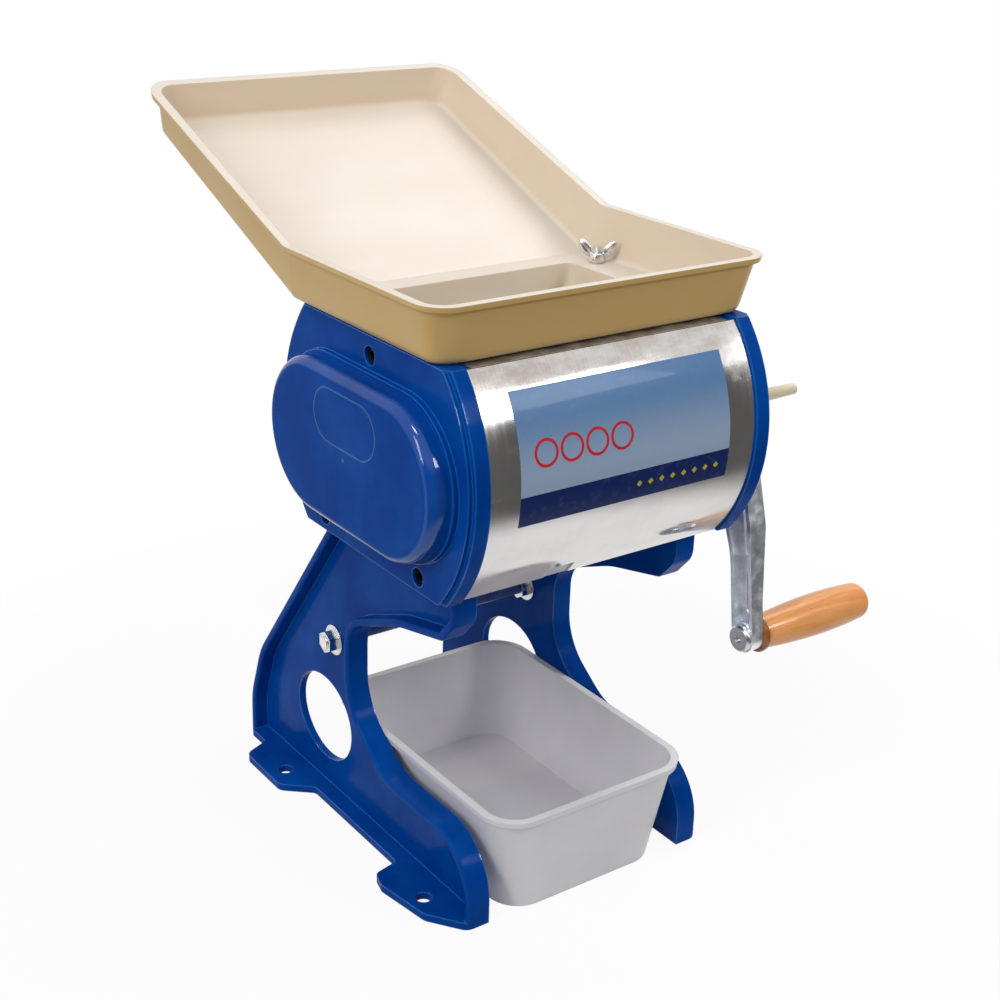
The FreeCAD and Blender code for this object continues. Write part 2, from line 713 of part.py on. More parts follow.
def shaft(name, y, right_end):
    """A blade shaft: hexagon for the blades, journals, a square for the gear and its own right end."""
    hexagon = prism("hex_flats", "2 * hex_half", ("-hex_half", y, "shaft_z"))
    left = cylinder("journal", "gear_inner - hex_half", ("-gear_inner", y, "shaft_z"))
    seat = prism("square_flats", "gear_width", ("-gear_face", y, "shaft_z"), sides=4)
    stub = cylinder("stub", "stub_length", ("-gear_face - stub_length", y, "shaft_z"))
    whole = fuse(hexagon, left, seat, stub, *right_end)
    groove_place = ("-gear_face - circlip_out", y, "shaft_z")
    ring = cut(
        cylinder("stub + 1", "circlip", groove_place),
        cylinder("stub - circlip", "circlip", groove_place),
    )
    return node(name, cut(whole, ring))


def drive_shaft():
    """The shaft that the crank turns; its right end carries a square and a threaded end."""
    y = "-shaft_y"
    journal = cylinder("journal", "hub_inner - hex_half", ("hex_half", y, "shaft_z"))
    square = prism("square_flats", "arm_outer - hub_inner", ("hub_inner", y, "shaft_z"), sides=4)
    thread = cylinder("end_thread", "knob_thread - 1", ("arm_outer", y, "shaft_z"))
    return shaft("drive_shaft", y, [journal, square, thread])


def driven_shaft():
    y = "shaft_y"
    journal = cylinder("journal", "body_half - blind_wall - part_gap - hex_half", ("hex_half", y, "shaft_z"))
    return shaft("driven_shaft", y, [journal])


def involute(base, angle, start):
    """A point of the involute of a base circle, turned so that it begins at start."""
    radius = base * math.sqrt(1 + angle * angle)
    turned = start + angle - math.atan(angle)
    return radius, turned


def gear_wire(x, phase):
    """The outline of a spur gear with involute flanks, one tooth centred at the angle phase."""
    teeth, module = size["gear_teeth"], size["gear_module"]
    pitch = module * teeth / 2
    base = pitch * math.cos(math.radians(20))
    outer, root = pitch + module, pitch - 1.2 * module
    half_tooth = math.pi / (2 * teeth) - size["gear_backlash"] / (4 * pitch)
    pitch_roll = math.tan(math.radians(20))
    start = -half_tooth - (pitch_roll - math.atan(pitch_roll))

    def at(radius, angle):
        return V(x, radius * math.cos(angle), radius * math.sin(angle))

    tip_roll = math.sqrt((outer / base) ** 2 - 1)
    flank = [involute(base, roll, start) for roll in (0, tip_roll / 2, tip_roll)]
    flank[0] = (root, flank[0][1])
    edges = []
    for tooth in range(teeth):
        centre = phase + 2 * math.pi * tooth / teeth
        rise = [at(radius, centre + angle) for radius, angle in flank]
        fall = [at(radius, centre - angle) for radius, angle in reversed(flank)]
        following = at(root, centre + 2 * math.pi / teeth + flank[0][1])
        edges.append(Part.Arc(*rise).toShape())
        edges.append(Part.LineSegment(rise[2], fall[0]).toShape())
        edges.append(Part.Arc(*fall).toShape())
        edges.append(Part.LineSegment(fall[2], following).toShape())
    return Part.Wire(edges)


def gear(name, y, phase):
    """A spur gear with a square bore, on its own shaft's axis."""
    blank = slab(gear_wire(-size["gear_face"], phase), V(size["gear_width"], 0, 0))
    blank.translate(V(0, y, size["shaft_z"]))
    flats = size["square_flats"] + 2 * size["seat_gap"]
    bore = flat_bar(flats, -size["gear_face"] - 1, -size["gear_inner"] + 1, y, size["shaft_z"], 4)
    return node(name, feature(blank.cut(bore)))


def circlip(name, y):
    """An open ring in the groove outside a gear."""
    inner, thick = size["stub"] - size["circlip"] + size["seat_gap"], size["circlip"] - 2 * size["seat_gap"]
    x_low = -size["gear_face"] - size["circlip_out"] + size["seat_gap"]
    ring = bar_along_x(size["stub"] + size["circlip"], x_low, x_low + thick, y, size["shaft_z"])
    ring = ring.cut(bar_along_x(inner, x_low - 1, x_low + thick + 1, y, size["shaft_z"]))
    gap = Part.makeBox(thick + 2, 2 * inner * 0.5, size["stub"] * 2)
    gap.translate(V(x_low - 1, y - inner * 0.5, size["shaft_z"]))
    return node(name, feature(ring.cut(gap)))


def blade_places(count):
    """Centres of the blades on one shaft, evenly spread about the middle."""
    return [(i - (count - 1) / 2) * size["blade_pitch"] for i in range(count)]


def on_hexagon(radius, x_low, x_high, y):
    """A disc or ring that slides on a shaft's hexagon."""
    ring = bar_along_x(radius, x_low, x_high, y, size["shaft_z"])
    flats = size["hex_flats"] + 2 * size["seat_gap"]
    return ring.cut(flat_bar(flats, x_low - 1, x_high + 1, y, size["shaft_z"]))


def blades(name, y, count):
    """The round blades of one shaft, as separate discs."""
    half = size["blade_thick"] / 2
    discs = [on_hexagon(size["blade_radius"], x - half, x + half, y) for x in blade_places(count)]
    return node(name, feature(Part.makeCompound(discs)))


def spacers(name, y, count):
    """The rings between the blades and out to the bushes, as separate rings."""
    half = size["blade_thick"] / 2
    edges = [-size["hex_half"]]
    for x in blade_places(count):
        edges += [x - half, x + half]
    edges.append(size["hex_half"])
    rings = [
        on_hexagon(size["spacer_radius"], low, high, y)
        for low, high in zip(edges[::2], edges[1::2])
    ]
    return node(name, feature(Part.makeCompound(rings)))


def comb(name, way, count):
    """A bar with a finger in each gap between the blades of one shaft; way is -1 at the front."""
    half = size["comb_bar"] / 2
    reach = size["comb_reach"]
    bar = Part.makeBox(2 * size["comb_half"], size["comb_bar"], size["comb_bar"])
    bar.translate(V(-size["comb_half"], reach - half, -half))
    rod = bar_along_x(
        size["rod_radius"] + size["thread_gap"], -size["comb_half"] - 1, size["comb_half"] + 1, reach, 0
    )
    width = size["blade_pitch"] - size["blade_thick"] - 2 * size["part_gap"]
    shape = bar
    for x in blade_places(count - 1):
        finger = Part.makeBox(width, reach, size["comb_finger"])
        finger.translate(V(x - width / 2, 0, -size["comb_finger"] / 2))
        shape = shape.fuse(finger)
    clear = size["spacer_radius"] + size["part_gap"]
    shape = shape.cut(bar_along_x(clear, -size["comb_half"] - 1, size["comb_half"] + 1, 0, 0))
    shape = shape.cut(rod).removeSplitter()
    shape.rotate(V(0, 0, 0), V(1, 0, 0), -size["comb_lean"])
    if way < 0:
        shape = shape.mirror(V(0, 0, 0), V(0, 1, 0))
    shape.translate(V(0, way * size["shaft_y"], size["shaft_z"]))
    return node(name, feature(shape))


def comb_rods():
    """The two rods that the combs hang on, seated in both end plates."""
    rods = [
        cylinder("rod_radius", "2 * rim_inner - 2 * seat_gap", ("-rim_inner + seat_gap", y, z))
        for y, z in (("-shaft_y - comb_y", "shaft_z - comb_z"), ("shaft_y + comb_y", "shaft_z - comb_z"))
    ]
    return node("comb_rods", group(*rods))


# ---------------------------------------------------------------- stands


def stand_outline():
    """A stand seen from the side, as (y, z, corner radius): top, back, foot, toe and open arch."""
    top, arch = size["body_low"], size["arch_back"]
    back, front = size["hole_back"], size["hole_front"]
    nose = size["stand_screw_front"] - 25.5
    return (
        (nose, top, 2),
        (size["stand_screw_back"] + 31.5, top, 3),
        (back + 48, 73, 60),
        (back + 62.5, 33, 50),
        (back + 63, 0, 2),
        (front - 36, 0, 3),
        (front - 36, 54, 40),
        (arch - 43, 54, 45),
        (arch, 84, 42),
        (arch, top - 71, 24),
        (arch - 56, top - 47, 80),
        (nose + 13, top - 36, 5),
        (nose, top - 21, 14),
    )


def foot_outline():
    """A stand's foot seen from above, as (x, y, corner radius), with a tab round each foot hole."""
    back, front, hole = size["hole_back"], size["hole_front"], size["foot_span_x"] / 2
    web = size["stand_inner"]
    edge = web + size["stand_depth"] + 1.5
    return (
        (web, back + 60, 0),
        (edge, back + 60, 2),
        (edge, back + 40, 4),
        (hole + 12.5, back + 32, 7),
        (hole + 12.5, back - 14, 8),
        (edge, back - 30, 5),
        (edge, front + 40, 3),
        (hole + 11.5, front + 36, 5),
        (hole + 14.5, front + 24, 6),
        (hole + 8.5, front - 14, 12),
        (web + 15, front - 36, 8),
        (web, front - 36, 0),
    )


def stand_solid():
    """The right stand: a channel of one wall, with an open arch, an oval window and a foot."""
    x_low, depth, wall = size["stand_inner"], size["stand_depth"], size["stand_wall"]
    profile = side_wire(x_low, stand_outline())
    block = slab(profile, V(depth, 0, 0))
    inside = profile.makeOffset2D(-wall, 0, False, False, True)
    inside.translate(V(wall, 0, 0))
    block = block.cut(slab(inside, V(depth, 0, 0)))
    open_side = [edge for edge in block.Edges if edge.BoundBox.XMin > x_low + depth - 0.01]
    block = block.makeFillet(size["stand_edge"], open_side)
    oval = Part.Ellipse(V(0, 0, 0), size["window_long"], size["window_tall"])
    hole = Part.Wire([oval.toShape()])
    hole.rotate(V(0, 0, 0), V(0, 1, 0), 90)
    hole.rotate(V(0, 0, 0), V(1, 0, 0), 90)
    hole.translate(V(x_low - EASY, size["window_y"], size["window_z"]))
    block = block.cut(slab(hole, V(wall + 2 * EASY, 0, 0)))
    foot = slab(outline([(V(x, y, 0), radius) for x, y, radius in foot_outline()]), V(0, 0, wall))
    return block.fuse(foot)


def stand_cuts():
    """The stay hole, two screw holes and two foot holes of the right stand."""
    wall, x_low = size["stand_wall"], size["stand_inner"]
    stay = size["stay_radius"] + size["seat_gap"]
    tools = [bar_along_x(stay, x_low - EASY, x_low + wall + EASY, size["stay_y"], size["stay_z"])]
    for y in (size["stand_screw_front"], size["stand_screw_back"]):
        low = V(size["stand_screw_x"], y, size["body_low"] - wall - EASY)
        tools.append(Part.makeCylinder(size["stand_screw"] + size["seat_gap"], wall + 2 * EASY, low))
    for y in (size["hole_back"], size["hole_front"]):
        low = V(size["foot_span_x"] / 2, y, -EASY)
        tools.append(Part.makeCylinder(size["foot_hole"], wall + 2 * EASY, low))
    return tools


def stands():
    """The two stands mirror each other."""
    right = stand_solid().cut(stand_cuts()).removeSplitter()
    node("right_stand", feature(right))
    node("left_stand", feature(right.mirror(V(0, 0, 0), V(1, 0, 0))))


def stay_faces():
    """Where nuts and washers meet the stands: (face, way out of the metal) along X."""
    inner, outer = "stand_inner", "stand_inner + stand_wall"
    return ((inner, -1), (outer, 1), (f"-({inner})", 1), (f"-({outer})", -1))


def on_stay(make, thick, start):
    """One piece at each side of each stand's web, start away from the metal."""
    pieces = []
    for face, way in stay_faces():
        low = f"{face} + {start}" if way > 0 else f"{face} - ({start}) - {thick}"
        pieces.append(make(low))
    return pieces


def stay_rod():
    reach = "stand_inner + stand_wall + washer_thick + nut_thick + 1"
    rod = cylinder("stay_radius", f"2 * ({reach})", (f"-({reach})", "stay_y", "stay_z"))
    return node("stay_rod", group(rod))


def stay_washers():
    def washer(low):
        place = (low, "stay_y", "stay_z")
        disc = cylinder("washer_radius", "washer_thick", place)
        return cut(disc, cylinder("stay_radius + thread_gap", "washer_thick", place))

    return node("stay_washers", group(*on_stay(washer, "washer_thick", "0")))


def stay_nuts():
    def nut(low):
        place = (low, "stay_y", "stay_z")
        chamfer = cylinder("nut_flats / 2 + nut_corner", "nut_thick", place)
        body = common(prism("nut_flats", "nut_thick", place), chamfer)
        return cut(body, cylinder("stay_radius + thread_gap", "nut_thick", place))

    return node("stay_nuts", group(*on_stay(nut, "nut_thick", "washer_thick")))


def stand_screws():
    """Four hexagon screws, up through the stands into the lower frame."""
    screws = []
    for x in ("stand_screw_x", "-stand_screw_x"):
        for y in ("stand_screw_front", "stand_screw_back"):
            under = "body_low - stand_wall"
            head = prism("bolt_flats", "bolt_head", (x, y, f"{under} - bolt_head"), "z")
            shank = cylinder("stand_screw", "stand_wall + base_thick - 1", (x, y, under), "z")
            screws.append(fuse(head, shank))
    return node("stand_screws", group(*screws))


# ---------------------------------------------------------------- tray, wing nut and box


def tray_level(low, high, out, front, back, soft=0.0):
    """A level block of the tray between two heights above its floor, with leaning walls.

    The walls stand out from the tray's inside by out. The edges around the bottom are rounded by soft.
    """
    lean = size["tray_flare"] / (size["tray_rim"] - size["tray_floor"])
    floor, half = size["body_top"] + size["tray_floor"], size["tray_half"]
    near, far = out + lean * low, out + lean * high
    block = Part.makeWedge(
        *(-half - near, floor + low, -back - near, -back - far, -half - far),
        *(half + near, floor + high, near - front, far - front, half + far),
    )
    block.rotate(V(0, 0, 0), V(1, 0, 0), 90)
    corner = size["tray_corner"] - size["tray_wall"] + out
    upright = [edge for edge in block.Edges if edge.BoundBox.ZLength > (high - low) / 2]
    block = block.makeFillet(corner, upright)
    if not soft:
        return block
    ring = [edge for edge in block.Edges if edge.BoundBox.ZMax < floor + low + 0.01]
    return block.makeFillet(soft, ring)


def behind(hinge, lean):
    """The half of space behind a line along X, under a plane that leans by an angle from upright."""
    far = 1000
    half = Part.makeBox(2 * far, far, 2 * far, V(-far, 0, -far))
    half.rotate(V(0, 0, 0), V(1, 0, 0), lean)
    half.translate(hinge)
    return half


def turned_up(level, rising, hinge, slope):
    """Two level blocks as one: the second is turned up about a line, and both are mitred there."""
    rising.rotate(hinge, V(1, 0, 0), slope)
    back = behind(hinge, slope / 2)
    return level.cut(back).fuse(rising.common(back))


def floor_hinge():
    """The point on the tray's middle where its floor turns up, and the ramp's length and slope."""
    bend, slope = size["tray_bend"], size["tray_slope"]
    ramp = (size["tray_back"] - bend) / math.cos(math.radians(slope))
    return V(0, bend, size["body_top"] + size["tray_floor"]), ramp, slope


def rim_hinge():
    """The point above it where the rim turns up, and the rising rim's length and slope."""
    hinge, ramp, slope = floor_hinge()
    deep = size["tray_rim"] - size["tray_floor"]
    lean = size["tray_flare"] / deep
    start = hinge + V(0, -deep * math.tan(math.radians(slope / 2)), deep)
    shallow = deep - size["tray_shallow"]
    along = V(0, math.cos(math.radians(slope)), math.sin(math.radians(slope)))
    end = hinge + along * (ramp + size["tray_wall"] + lean * shallow) + V(0, -along.z, along.y) * shallow
    line = end - start
    return start, line.Length, math.degrees(math.atan2(line.z, line.y))


def trough(low, high, out, soft=0.0):
    """A block of the tray between two heights above its floor, level and then rising with the floor."""
    hinge, ramp, slope = floor_hinge()
    past = 3 * size["tray_rim"]
    level = tray_level(low, high, out, size["tray_front"], hinge.y + past, soft)
    rising = tray_level(low, high, out, hinge.y - past, hinge.y + ramp, soft)
    return turned_up(level, rising, hinge, slope)


def tray_rim_bead():
    """The rim that stands out all round, level and then rising in its own plane."""
    hinge, length, slope = rim_hinge()
    rim, out = size["tray_rim"] - size["tray_floor"], size["tray_wall"] + size["tray_lip"]
    low, past = rim - size["tray_lip_thick"], 3 * size["tray_rim"]
    back = hinge.y + length + size["tray_lip"] - out - size["tray_flare"]
    level = tray_level(low, rim, out, size["tray_front"], hinge.y + past)
    rising = tray_level(low, rim, out, hinge.y - past, back)
    return turned_up(level, rising, hinge, slope)


def tray_shell():
    """The tray without its pocket: one moulding with a rounded floor and a rim that stands out."""
    wall, floor = size["tray_wall"], size["tray_floor"]
    rim = size["tray_rim"] - floor
    outer = trough(-floor, rim, wall, size["tray_round"] + wall)
    hinge, length, slope = rim_hinge()
    above = Part.makeBox(2 * length, 2 * length, rim, hinge - V(length, 0, 0))
    above.rotate(hinge, V(1, 0, 0), slope)
    outer = outer.cut(above).fuse(tray_rim_bead())
    return outer.cut(trough(0, rim + EASY, 0, size["tray_round"]))


def pocket_solid(out, above):
    """The feed pocket's space, grown outwards by out and upwards by above."""
    top_z = size["body_top"] + size["tray_floor"]
    taper = size["pocket_taper"]
    rows = []
    for z, drawn in ((size["pocket_z"] - above, taper), (top_z + above, 0)):
        rows.append(
            rectangle(
                size["pocket_half"] - drawn + out,
                size["pocket_front"] + drawn - out,
                size["pocket_back"] - drawn + out,
                z,
                size["pocket_corner"] + out,
            )
        )
    return Part.makeLoft(rows, True, True)


def tray():
    """The whole food tray, with its pocket and the hole for the wing nut's stud."""
    skirt = pocket_solid(size["pocket_wall"], 0)
    under_floor = Part.makeBox(400, 400, size["tray_floor"] - 1, V(-200, -200, size["body_top"] + 1))
    skirt = skirt.cut(under_floor)
    stud = V(size["stud_x"], size["stud_y"], size["body_top"] - EASY)
    hole = Part.makeCylinder(
        size["stud_radius"] + size["seat_gap"], size["tray_floor"] + 2 * EASY, stud, V(0, 0, 1)
    )
    shape = tray_shell().fuse(skirt).cut(pocket_solid(0, EASY)).cut(hole)
    return node("tray", feature(shape.removeSplitter()))


def tray_stud():
    rod = cylinder(
        "stud_radius", "stud_depth + stud_rise", ("stud_x", "stud_y", "body_top - stud_depth"), "z"
    )
    return node("tray_stud", group(rod))


def wing_nut():
    """A wing nut: a tapered body with two upswept wings."""
    foot, tall, thick = size["wing_hub"], size["wing_hub_height"], size["wing_thick"]
    body = Part.makeCone(foot, foot * 0.8, tall)
    wing = outline(
        [
            (V(foot * 0.5, 0, 0.8), 0),
            (V(foot * 0.9, 0, 0.8), 0),
            (V(size["wing_span"], 0, size["wing_height"] - 4), 2),
            (V(size["wing_span"], 0, size["wing_height"]), 2),
            (V(size["wing_span"] - 4.5, 0, size["wing_height"]), 2),
            (V(foot * 0.5, 0, tall), 0),
        ]
    )
    blade = slab(wing, V(0, thick, 0))
    blade.translate(V(0, -thick / 2, 0))
    other = blade.copy()
    other.rotate(V(0, 0, 0), V(0, 0, 1), 180)
    bore = Part.makeCylinder(size["stud_radius"] + size["run_gap"], tall + 2, V(0, 0, -1))
    shape = body.fuse([blade, other]).cut(bore)
    shape.rotate(V(0, 0, 0), V(0, 0, 1), size["wing_turn"])
    foot_z = size["body_top"] + size["tray_floor"] + size["seat_gap"]
    shape.translate(V(size["stud_x"], size["stud_y"], foot_z))
    return node("wing_nut", feature(shape))


def tub_solid(inset, z_low, z_high):
    """The collecting box's outer form drawn in by inset, between two heights."""
    rows = []
    for z in (z_low, z_high):
        down = 1 - z / size["tub_height"]
        side = size["tub_taper"] * down + inset
        end = size["tub_slope"] * down + inset
        front, back = size["tub_front"] + end, size["tub_back"] - end
        rows.append(rectangle(size["tub_half"] - side, front, back, z, size["tub_corner"] - inset))
    return Part.makeLoft(rows, True, True)


def collecting_box():
    """The loose box that catches the slices: tapered walls and a rim."""
    lip, tall = size["tub_lip"], size["tub_height"]
    walls = tub_solid(lip, 0, tall)
    rim = tub_solid(0, tall - size["tub_lip_thick"], tall)
    inside = tub_solid(lip + size["tub_wall"], size["tub_wall"], tall + EASY)
    return node("collecting_box", feature(walls.fuse(rim).cut(inside).removeSplitter()))


# ---------------------------------------------------------------- crank

# The arm's outline: (share of the way from the shaft to the pin, offset to the back, corner radius)
ARM_OUTLINE = (
    (0, 14, 0),
    (0.245, 12.6, 45),
    (0.635, 4, 70),
    (1, 9.4, 0),
    (1, -9.4, 0),
    (0.88, -10.7, 60),
    (0.514, -16.2, 50),
    (0.06, -13.5, 0),
    (0, -14.5, 0),
)

# The two windows in the arm's web, in the same measure
ARM_WINDOWS = (
    ((0.37, -5, 3), (0.645, -3.6, 3), (0.66, -11.4, 3.5), (0.37, -12.4, 3)),
    ((0.69, -3.2, 3), (0.9, 0.2, 3), (0.905, -7.6, 3.4), (0.705, -10.6, 3.4)),
)

# Where the arm's thickness starts and ends to grow, as shares of the way from the pin's height
ARM_STEP = (0.83, 0.49)


def arm_wire(corners):
    """An outline in the arm's inner face, from corners given along and across the arm."""
    length = size["arm_length"]
    along = V(0, size["pin_y"], size["pin_z"]) * (1 / length)
    aside = V(0, -along.z, along.y)
    face = V(size["arm_inner"], 0, 0)
    return outline(
        [(face + along * (share * length) + aside * offset, radius) for share, offset, radius in corners]
    )


def arm_side():
    """The arm's thickness seen from the front: thin at the handle, thicker above its bend."""
    inner, thin, thick, reach = (size[key] for key in ("arm_inner", "arm_thin", "arm_thick", "arm_length"))
    step_low, step_high = (share * size["pin_z"] for share in ARM_STEP)
    corners = [(inner, reach), (inner, -2 * reach), (inner + thin, -2 * reach), (inner + thin, step_low)]
    corners += [(inner + thick, step_high), (inner + thick, reach)]
    wire = Part.makePolygon([V(x, -reach, z) for x, z in corners + corners[:1]])
    return slab(wire, V(0, 2 * reach, 0))


def crank_arm():
    """The cast arm: two ribs joined by a web with two windows, a hub and a round lower end."""
    inner, outer = size["arm_inner"], size["arm_outer"]
    pin_y, pin_z = size["pin_y"], size["pin_z"]
    profile = arm_wire(ARM_OUTLINE)
    bar = slab(profile, V(size["arm_thick"], 0, 0)).common(arm_side())
    sunk = profile.makeOffset2D(-size["arm_rib"], 0, False, False, True)
    bar = bar.cut(slab(sunk, V(size["arm_thin"] - size["arm_web"], 0, 0)))
    for corners in ARM_WINDOWS:
        bar = bar.cut(slab(arm_wire(corners), V(size["arm_thick"], 0, 0)))
    end = bar_along_x(size["pin_end"], inner, inner + size["arm_thin"], pin_y, pin_z)
    hub = bar_along_x(size["hub_radius"], inner, outer, 0, 0)
    boss = bar_along_x(size["boss_radius"], size["hub_inner"], inner, 0, 0)
    shape = bar.fuse([end, hub, boss])
    shape = shape.cut(bar_along_x(size["bolt_radius"] + size["thread_gap"], inner - 1, outer, pin_y, pin_z))
    flats = size["square_flats"] + 2 * size["seat_gap"]
    shape = shape.cut(flat_bar(flats, size["hub_inner"] - 1, outer + 1, 0, 0, 4)).removeSplitter()
    shape.translate(V(0, -size["shaft_y"], size["shaft_z"]))
    return node("crank_arm", feature(shape))


def crank_knob():
    """The knob screwed on the drive shaft's end, which keeps the arm on its square."""
    body = doc.addObject("PartDesign::Body", "knob_body")
    points = [
        ("arm_outer", "0"),
        ("arm_outer", "knob_foot"),
        ("arm_outer + knob_foot_length", "knob_foot"),
        ("arm_outer + knob_cone", "knob_near"),
        ("knob_end - 1", "knob_far"),
        ("knob_end", "knob_far - 1"),
        ("knob_end", "0"),
    ]
    revolve(body, points)
    groove(body, hole_profile("arm_outer", "arm_outer + knob_thread", "end_thread + thread_gap"))
    return turned_node("crank_knob", body, "-shaft_y", "shaft_z")


def hole_profile(face, floor, radius):
    """Half the section of a blind hole that opens towards -X."""
    opening = f"{face} - {EASY}"
    return [(opening, "0"), (opening, radius), (floor, radius), (floor, "0")]


def plane_of(body, role):
    """One of a body's own origin planes."""
    return next(plane for plane in body.Origin.OriginFeatures if plane.Role == role)


def profile_sketch(body, points):
    """A closed profile in the body's XZ plane, from (x, radius) formulas that hold its corners."""
    sketch = body.newObject("Sketcher::SketchObject", "profile")
    sketch.AttachmentSupport = [(plane_of(body, "XZ_Plane"), "")]
    sketch.MapMode = "FlatFace"
    corners = [V(measure(x), measure(radius), 0) for x, radius in points]
    count = len(corners)
    for i, corner in enumerate(corners):
        sketch.addGeometry(Part.LineSegment(corner, corners[(i + 1) % count]))
    for i, corner in enumerate(corners):
        sketch.addConstraint(Sketcher.Constraint("Coincident", i, 2, (i + 1) % count, 1))
        places = (("DistanceX", corner.x, points[i][0]), ("DistanceY", corner.y, points[i][1]))
        for kind, value, formula in places:
            index = sketch.addConstraint(Sketcher.Constraint(kind, -1, 1, i, 1, value))
            sketch.setExpression(f"Constraints[{index}]", linked(formula))
    return sketch


def revolve(body, points):
    """Turn a profile about the body's X axis."""
    turned = body.newObject("PartDesign::Revolution", "turned")
    turned.Profile = profile_sketch(body, points)
    turned.ReferenceAxis = (turned.Profile[0], ["H_Axis"])
    turned.Angle = 360
    doc.recompute()
    return turned


def groove(body, points):
    """Turn a profile about the body's X axis and take it away."""
    before = body.Shape.Volume
    bored = body.newObject("PartDesign::Groove", "bored")
    bored.Profile = profile_sketch(body, points)
    bored.ReferenceAxis = (bored.Profile[0], ["H_Axis"])
    bored.Angle = 360
    doc.recompute()
    if body.Shape.Volume >= before:
        raise RuntimeError(f"a groove in {body.Name} took nothing away")
    return bored


def turned_node(name, body, y, z):
    """Name a turned piece and set it on its own axis."""
    body.Label = name
    bind(body, Placement__Base__y=f"body_y + ({y})", Placement__Base__z=z)
    nodes[name] = body
    return body


def handle_bolt():
    """The bolt that the handle turns on: a round head with a socket, shank and threaded end."""
    body = doc.addObject("PartDesign::Body", "bolt_body")
    points = [
        ("disc_face", "0"),
        ("disc_face", "disc_radius - edge_turn"),
        ("disc_face + edge_turn", "disc_radius"),
        ("arm_inner", "disc_radius"),
        ("arm_inner", "bolt_radius"),
        ("bolt_end", "bolt_radius"),
        ("bolt_end", "0"),
    ]
    revolve(body, points)
    groove(body, hole_profile("disc_face", "disc_face + socket_depth", "socket"))
    return turned_node("handle_bolt", body, "crank_y", "crank_z")


def handle_collar():
    """The dark collar between the arm and the handle."""
    body = doc.addObject("PartDesign::Body", "collar_body")
    points = [
        ("collar_face", "bolt_radius + thread_gap"),
        ("collar_face", "collar_radius - edge_turn"),
        ("collar_face + edge_turn", "collar_radius"),
        ("grip_face - edge_turn", "collar_radius"),
        ("grip_face", "collar_radius - edge_turn"),
        ("grip_face", "bolt_radius + thread_gap"),
    ]
    revolve(body, points)
    return turned_node("handle_collar", body, "crank_y", "crank_z")


def handle_nut():
    """The lock nut at the bottom of the hole in the handle's end."""
    start = size["grip_floor"] + size["part_gap"]
    end = start + size["nut_thick"]
    hole = bar_along_x(size["bolt_radius"] + size["thread_gap"], start - 1, end + 1, 0, 0)
    nut = flat_bar(size["nut_flats"], start, end, 0, 0).cut(hole)
    nut.translate(V(0, size["crank_y"], size["crank_z"]))
    return node("handle_nut", feature(nut))


# The handle's thickest place and the start of its rounded end, as shares of its length
GRIP_PLACES = (0.58, 0.95)


def swell_arc(crest, most, end):
    """An arc of the handle's outline from its end to its thickest place, where it runs level."""
    run, drop = end.x - crest.x, most - end.z
    radius = (run * run + drop * drop) / (2 * drop)
    halfway = radius - math.sqrt(radius * radius - run * run / 4)
    middle = V((end.x + crest.x) / 2, 0, most - halfway)
    return Part.Arc(end, middle, crest + V(0, 0, most)).toShape()


def crank_handle():
    """The turned wooden handle: barrel shaped, bored for its bolt and sunk for the nut."""
    start = size["grip_face"] + size["part_gap"]
    end = start + size["grip_length"] - size["part_gap"]
    near, most, far = size["grip_near"], size["grip_max"], size["grip_far"]
    crest, last = (V(start + share * (end - start), 0, 0) for share in GRIP_PLACES)
    swell = [swell_arc(crest, most, V(start, 0, near)), swell_arc(crest, most, last + V(0, 0, far))]
    cap = Part.Arc(last + V(0, 0, far), V(end - 1.2, 0, far - 2.0), V(end, 0, far - 4.8)).toShape()
    bore = size["bolt_radius"] + size["run_gap"]
    sunk = end - size["grip_sink"]
    line = [
        V(end, 0, far - 4.8),
        V(end, 0, size["grip_bore"]),
        V(sunk, 0, size["grip_bore"]),
        V(sunk, 0, bore),
        V(start, 0, bore),
        V(start, 0, near),
    ]
    rest = [Part.LineSegment(a, b).toShape() for a, b in zip(line, line[1:]) if (a - b).Length > 1e-6]
    face = Part.Face(Part.Wire(Part.sortEdges(swell + [cap] + rest)[0]))
    shape = face.revolve(V(0, 0, 0), V(1, 0, 0), 360)
    shape.translate(V(0, size["crank_y"], size["crank_z"]))
    return node("crank_handle", feature(shape))


# ---------------------------------------------------------------- the machine


def build():
    """Make every sub-part."""
    left_end_plate()
    right_end_plate()
    front_shell()
    rear_shell()
    feed_throat()
    lower_frame()
    plate_screws()
    gear_cover()
    left_bushes()
    right_bushes()
    drive_shaft()
    driven_shaft()
    gear("drive_gear", -size["shaft_y"], 0)
    gear("driven_gear", size["shaft_y"], math.pi / size["gear_teeth"])
    circlip("drive_circlip", -size["shaft_y"])
    circlip("driven_circlip", size["shaft_y"])
    count = size["blade_count"]
    blades("drive_blades", -size["shaft_y"], count)
    blades("driven_blades", size["shaft_y"], count - 1)
    spacers("drive_spacers", -size["shaft_y"], count)
    spacers("driven_spacers", size["shaft_y"], count - 1)
    comb("front_comb", -1, count)
    comb("rear_comb", 1, count - 1)
    comb_rods()
    stands()
    stay_rod()
    stay_washers()
    stay_nuts()
    stand_screws()
    tray()
    tray_stud()
    wing_nut()
    collecting_box()
    crank_arm()
    crank_knob()
    handle_bolt()
    handle_collar()
    handle_nut()
    crank_handle()


def check():
    """Stop on any object that failed and on any sub-part that isn't a valid solid."""
    doc.recompute()
    for obj in doc.Objects:
        if "Invalid" in obj.State or "Error" in obj.State:
            raise RuntimeError(f"{obj.Name} ({obj.Label}) failed: {obj.State}")
    for name, obj in nodes.items():
        shape = obj.Shape
        if shape.isNull() or not shape.isValid() or not shape.Solids:
            raise RuntimeError(f"{name} has no valid solid")


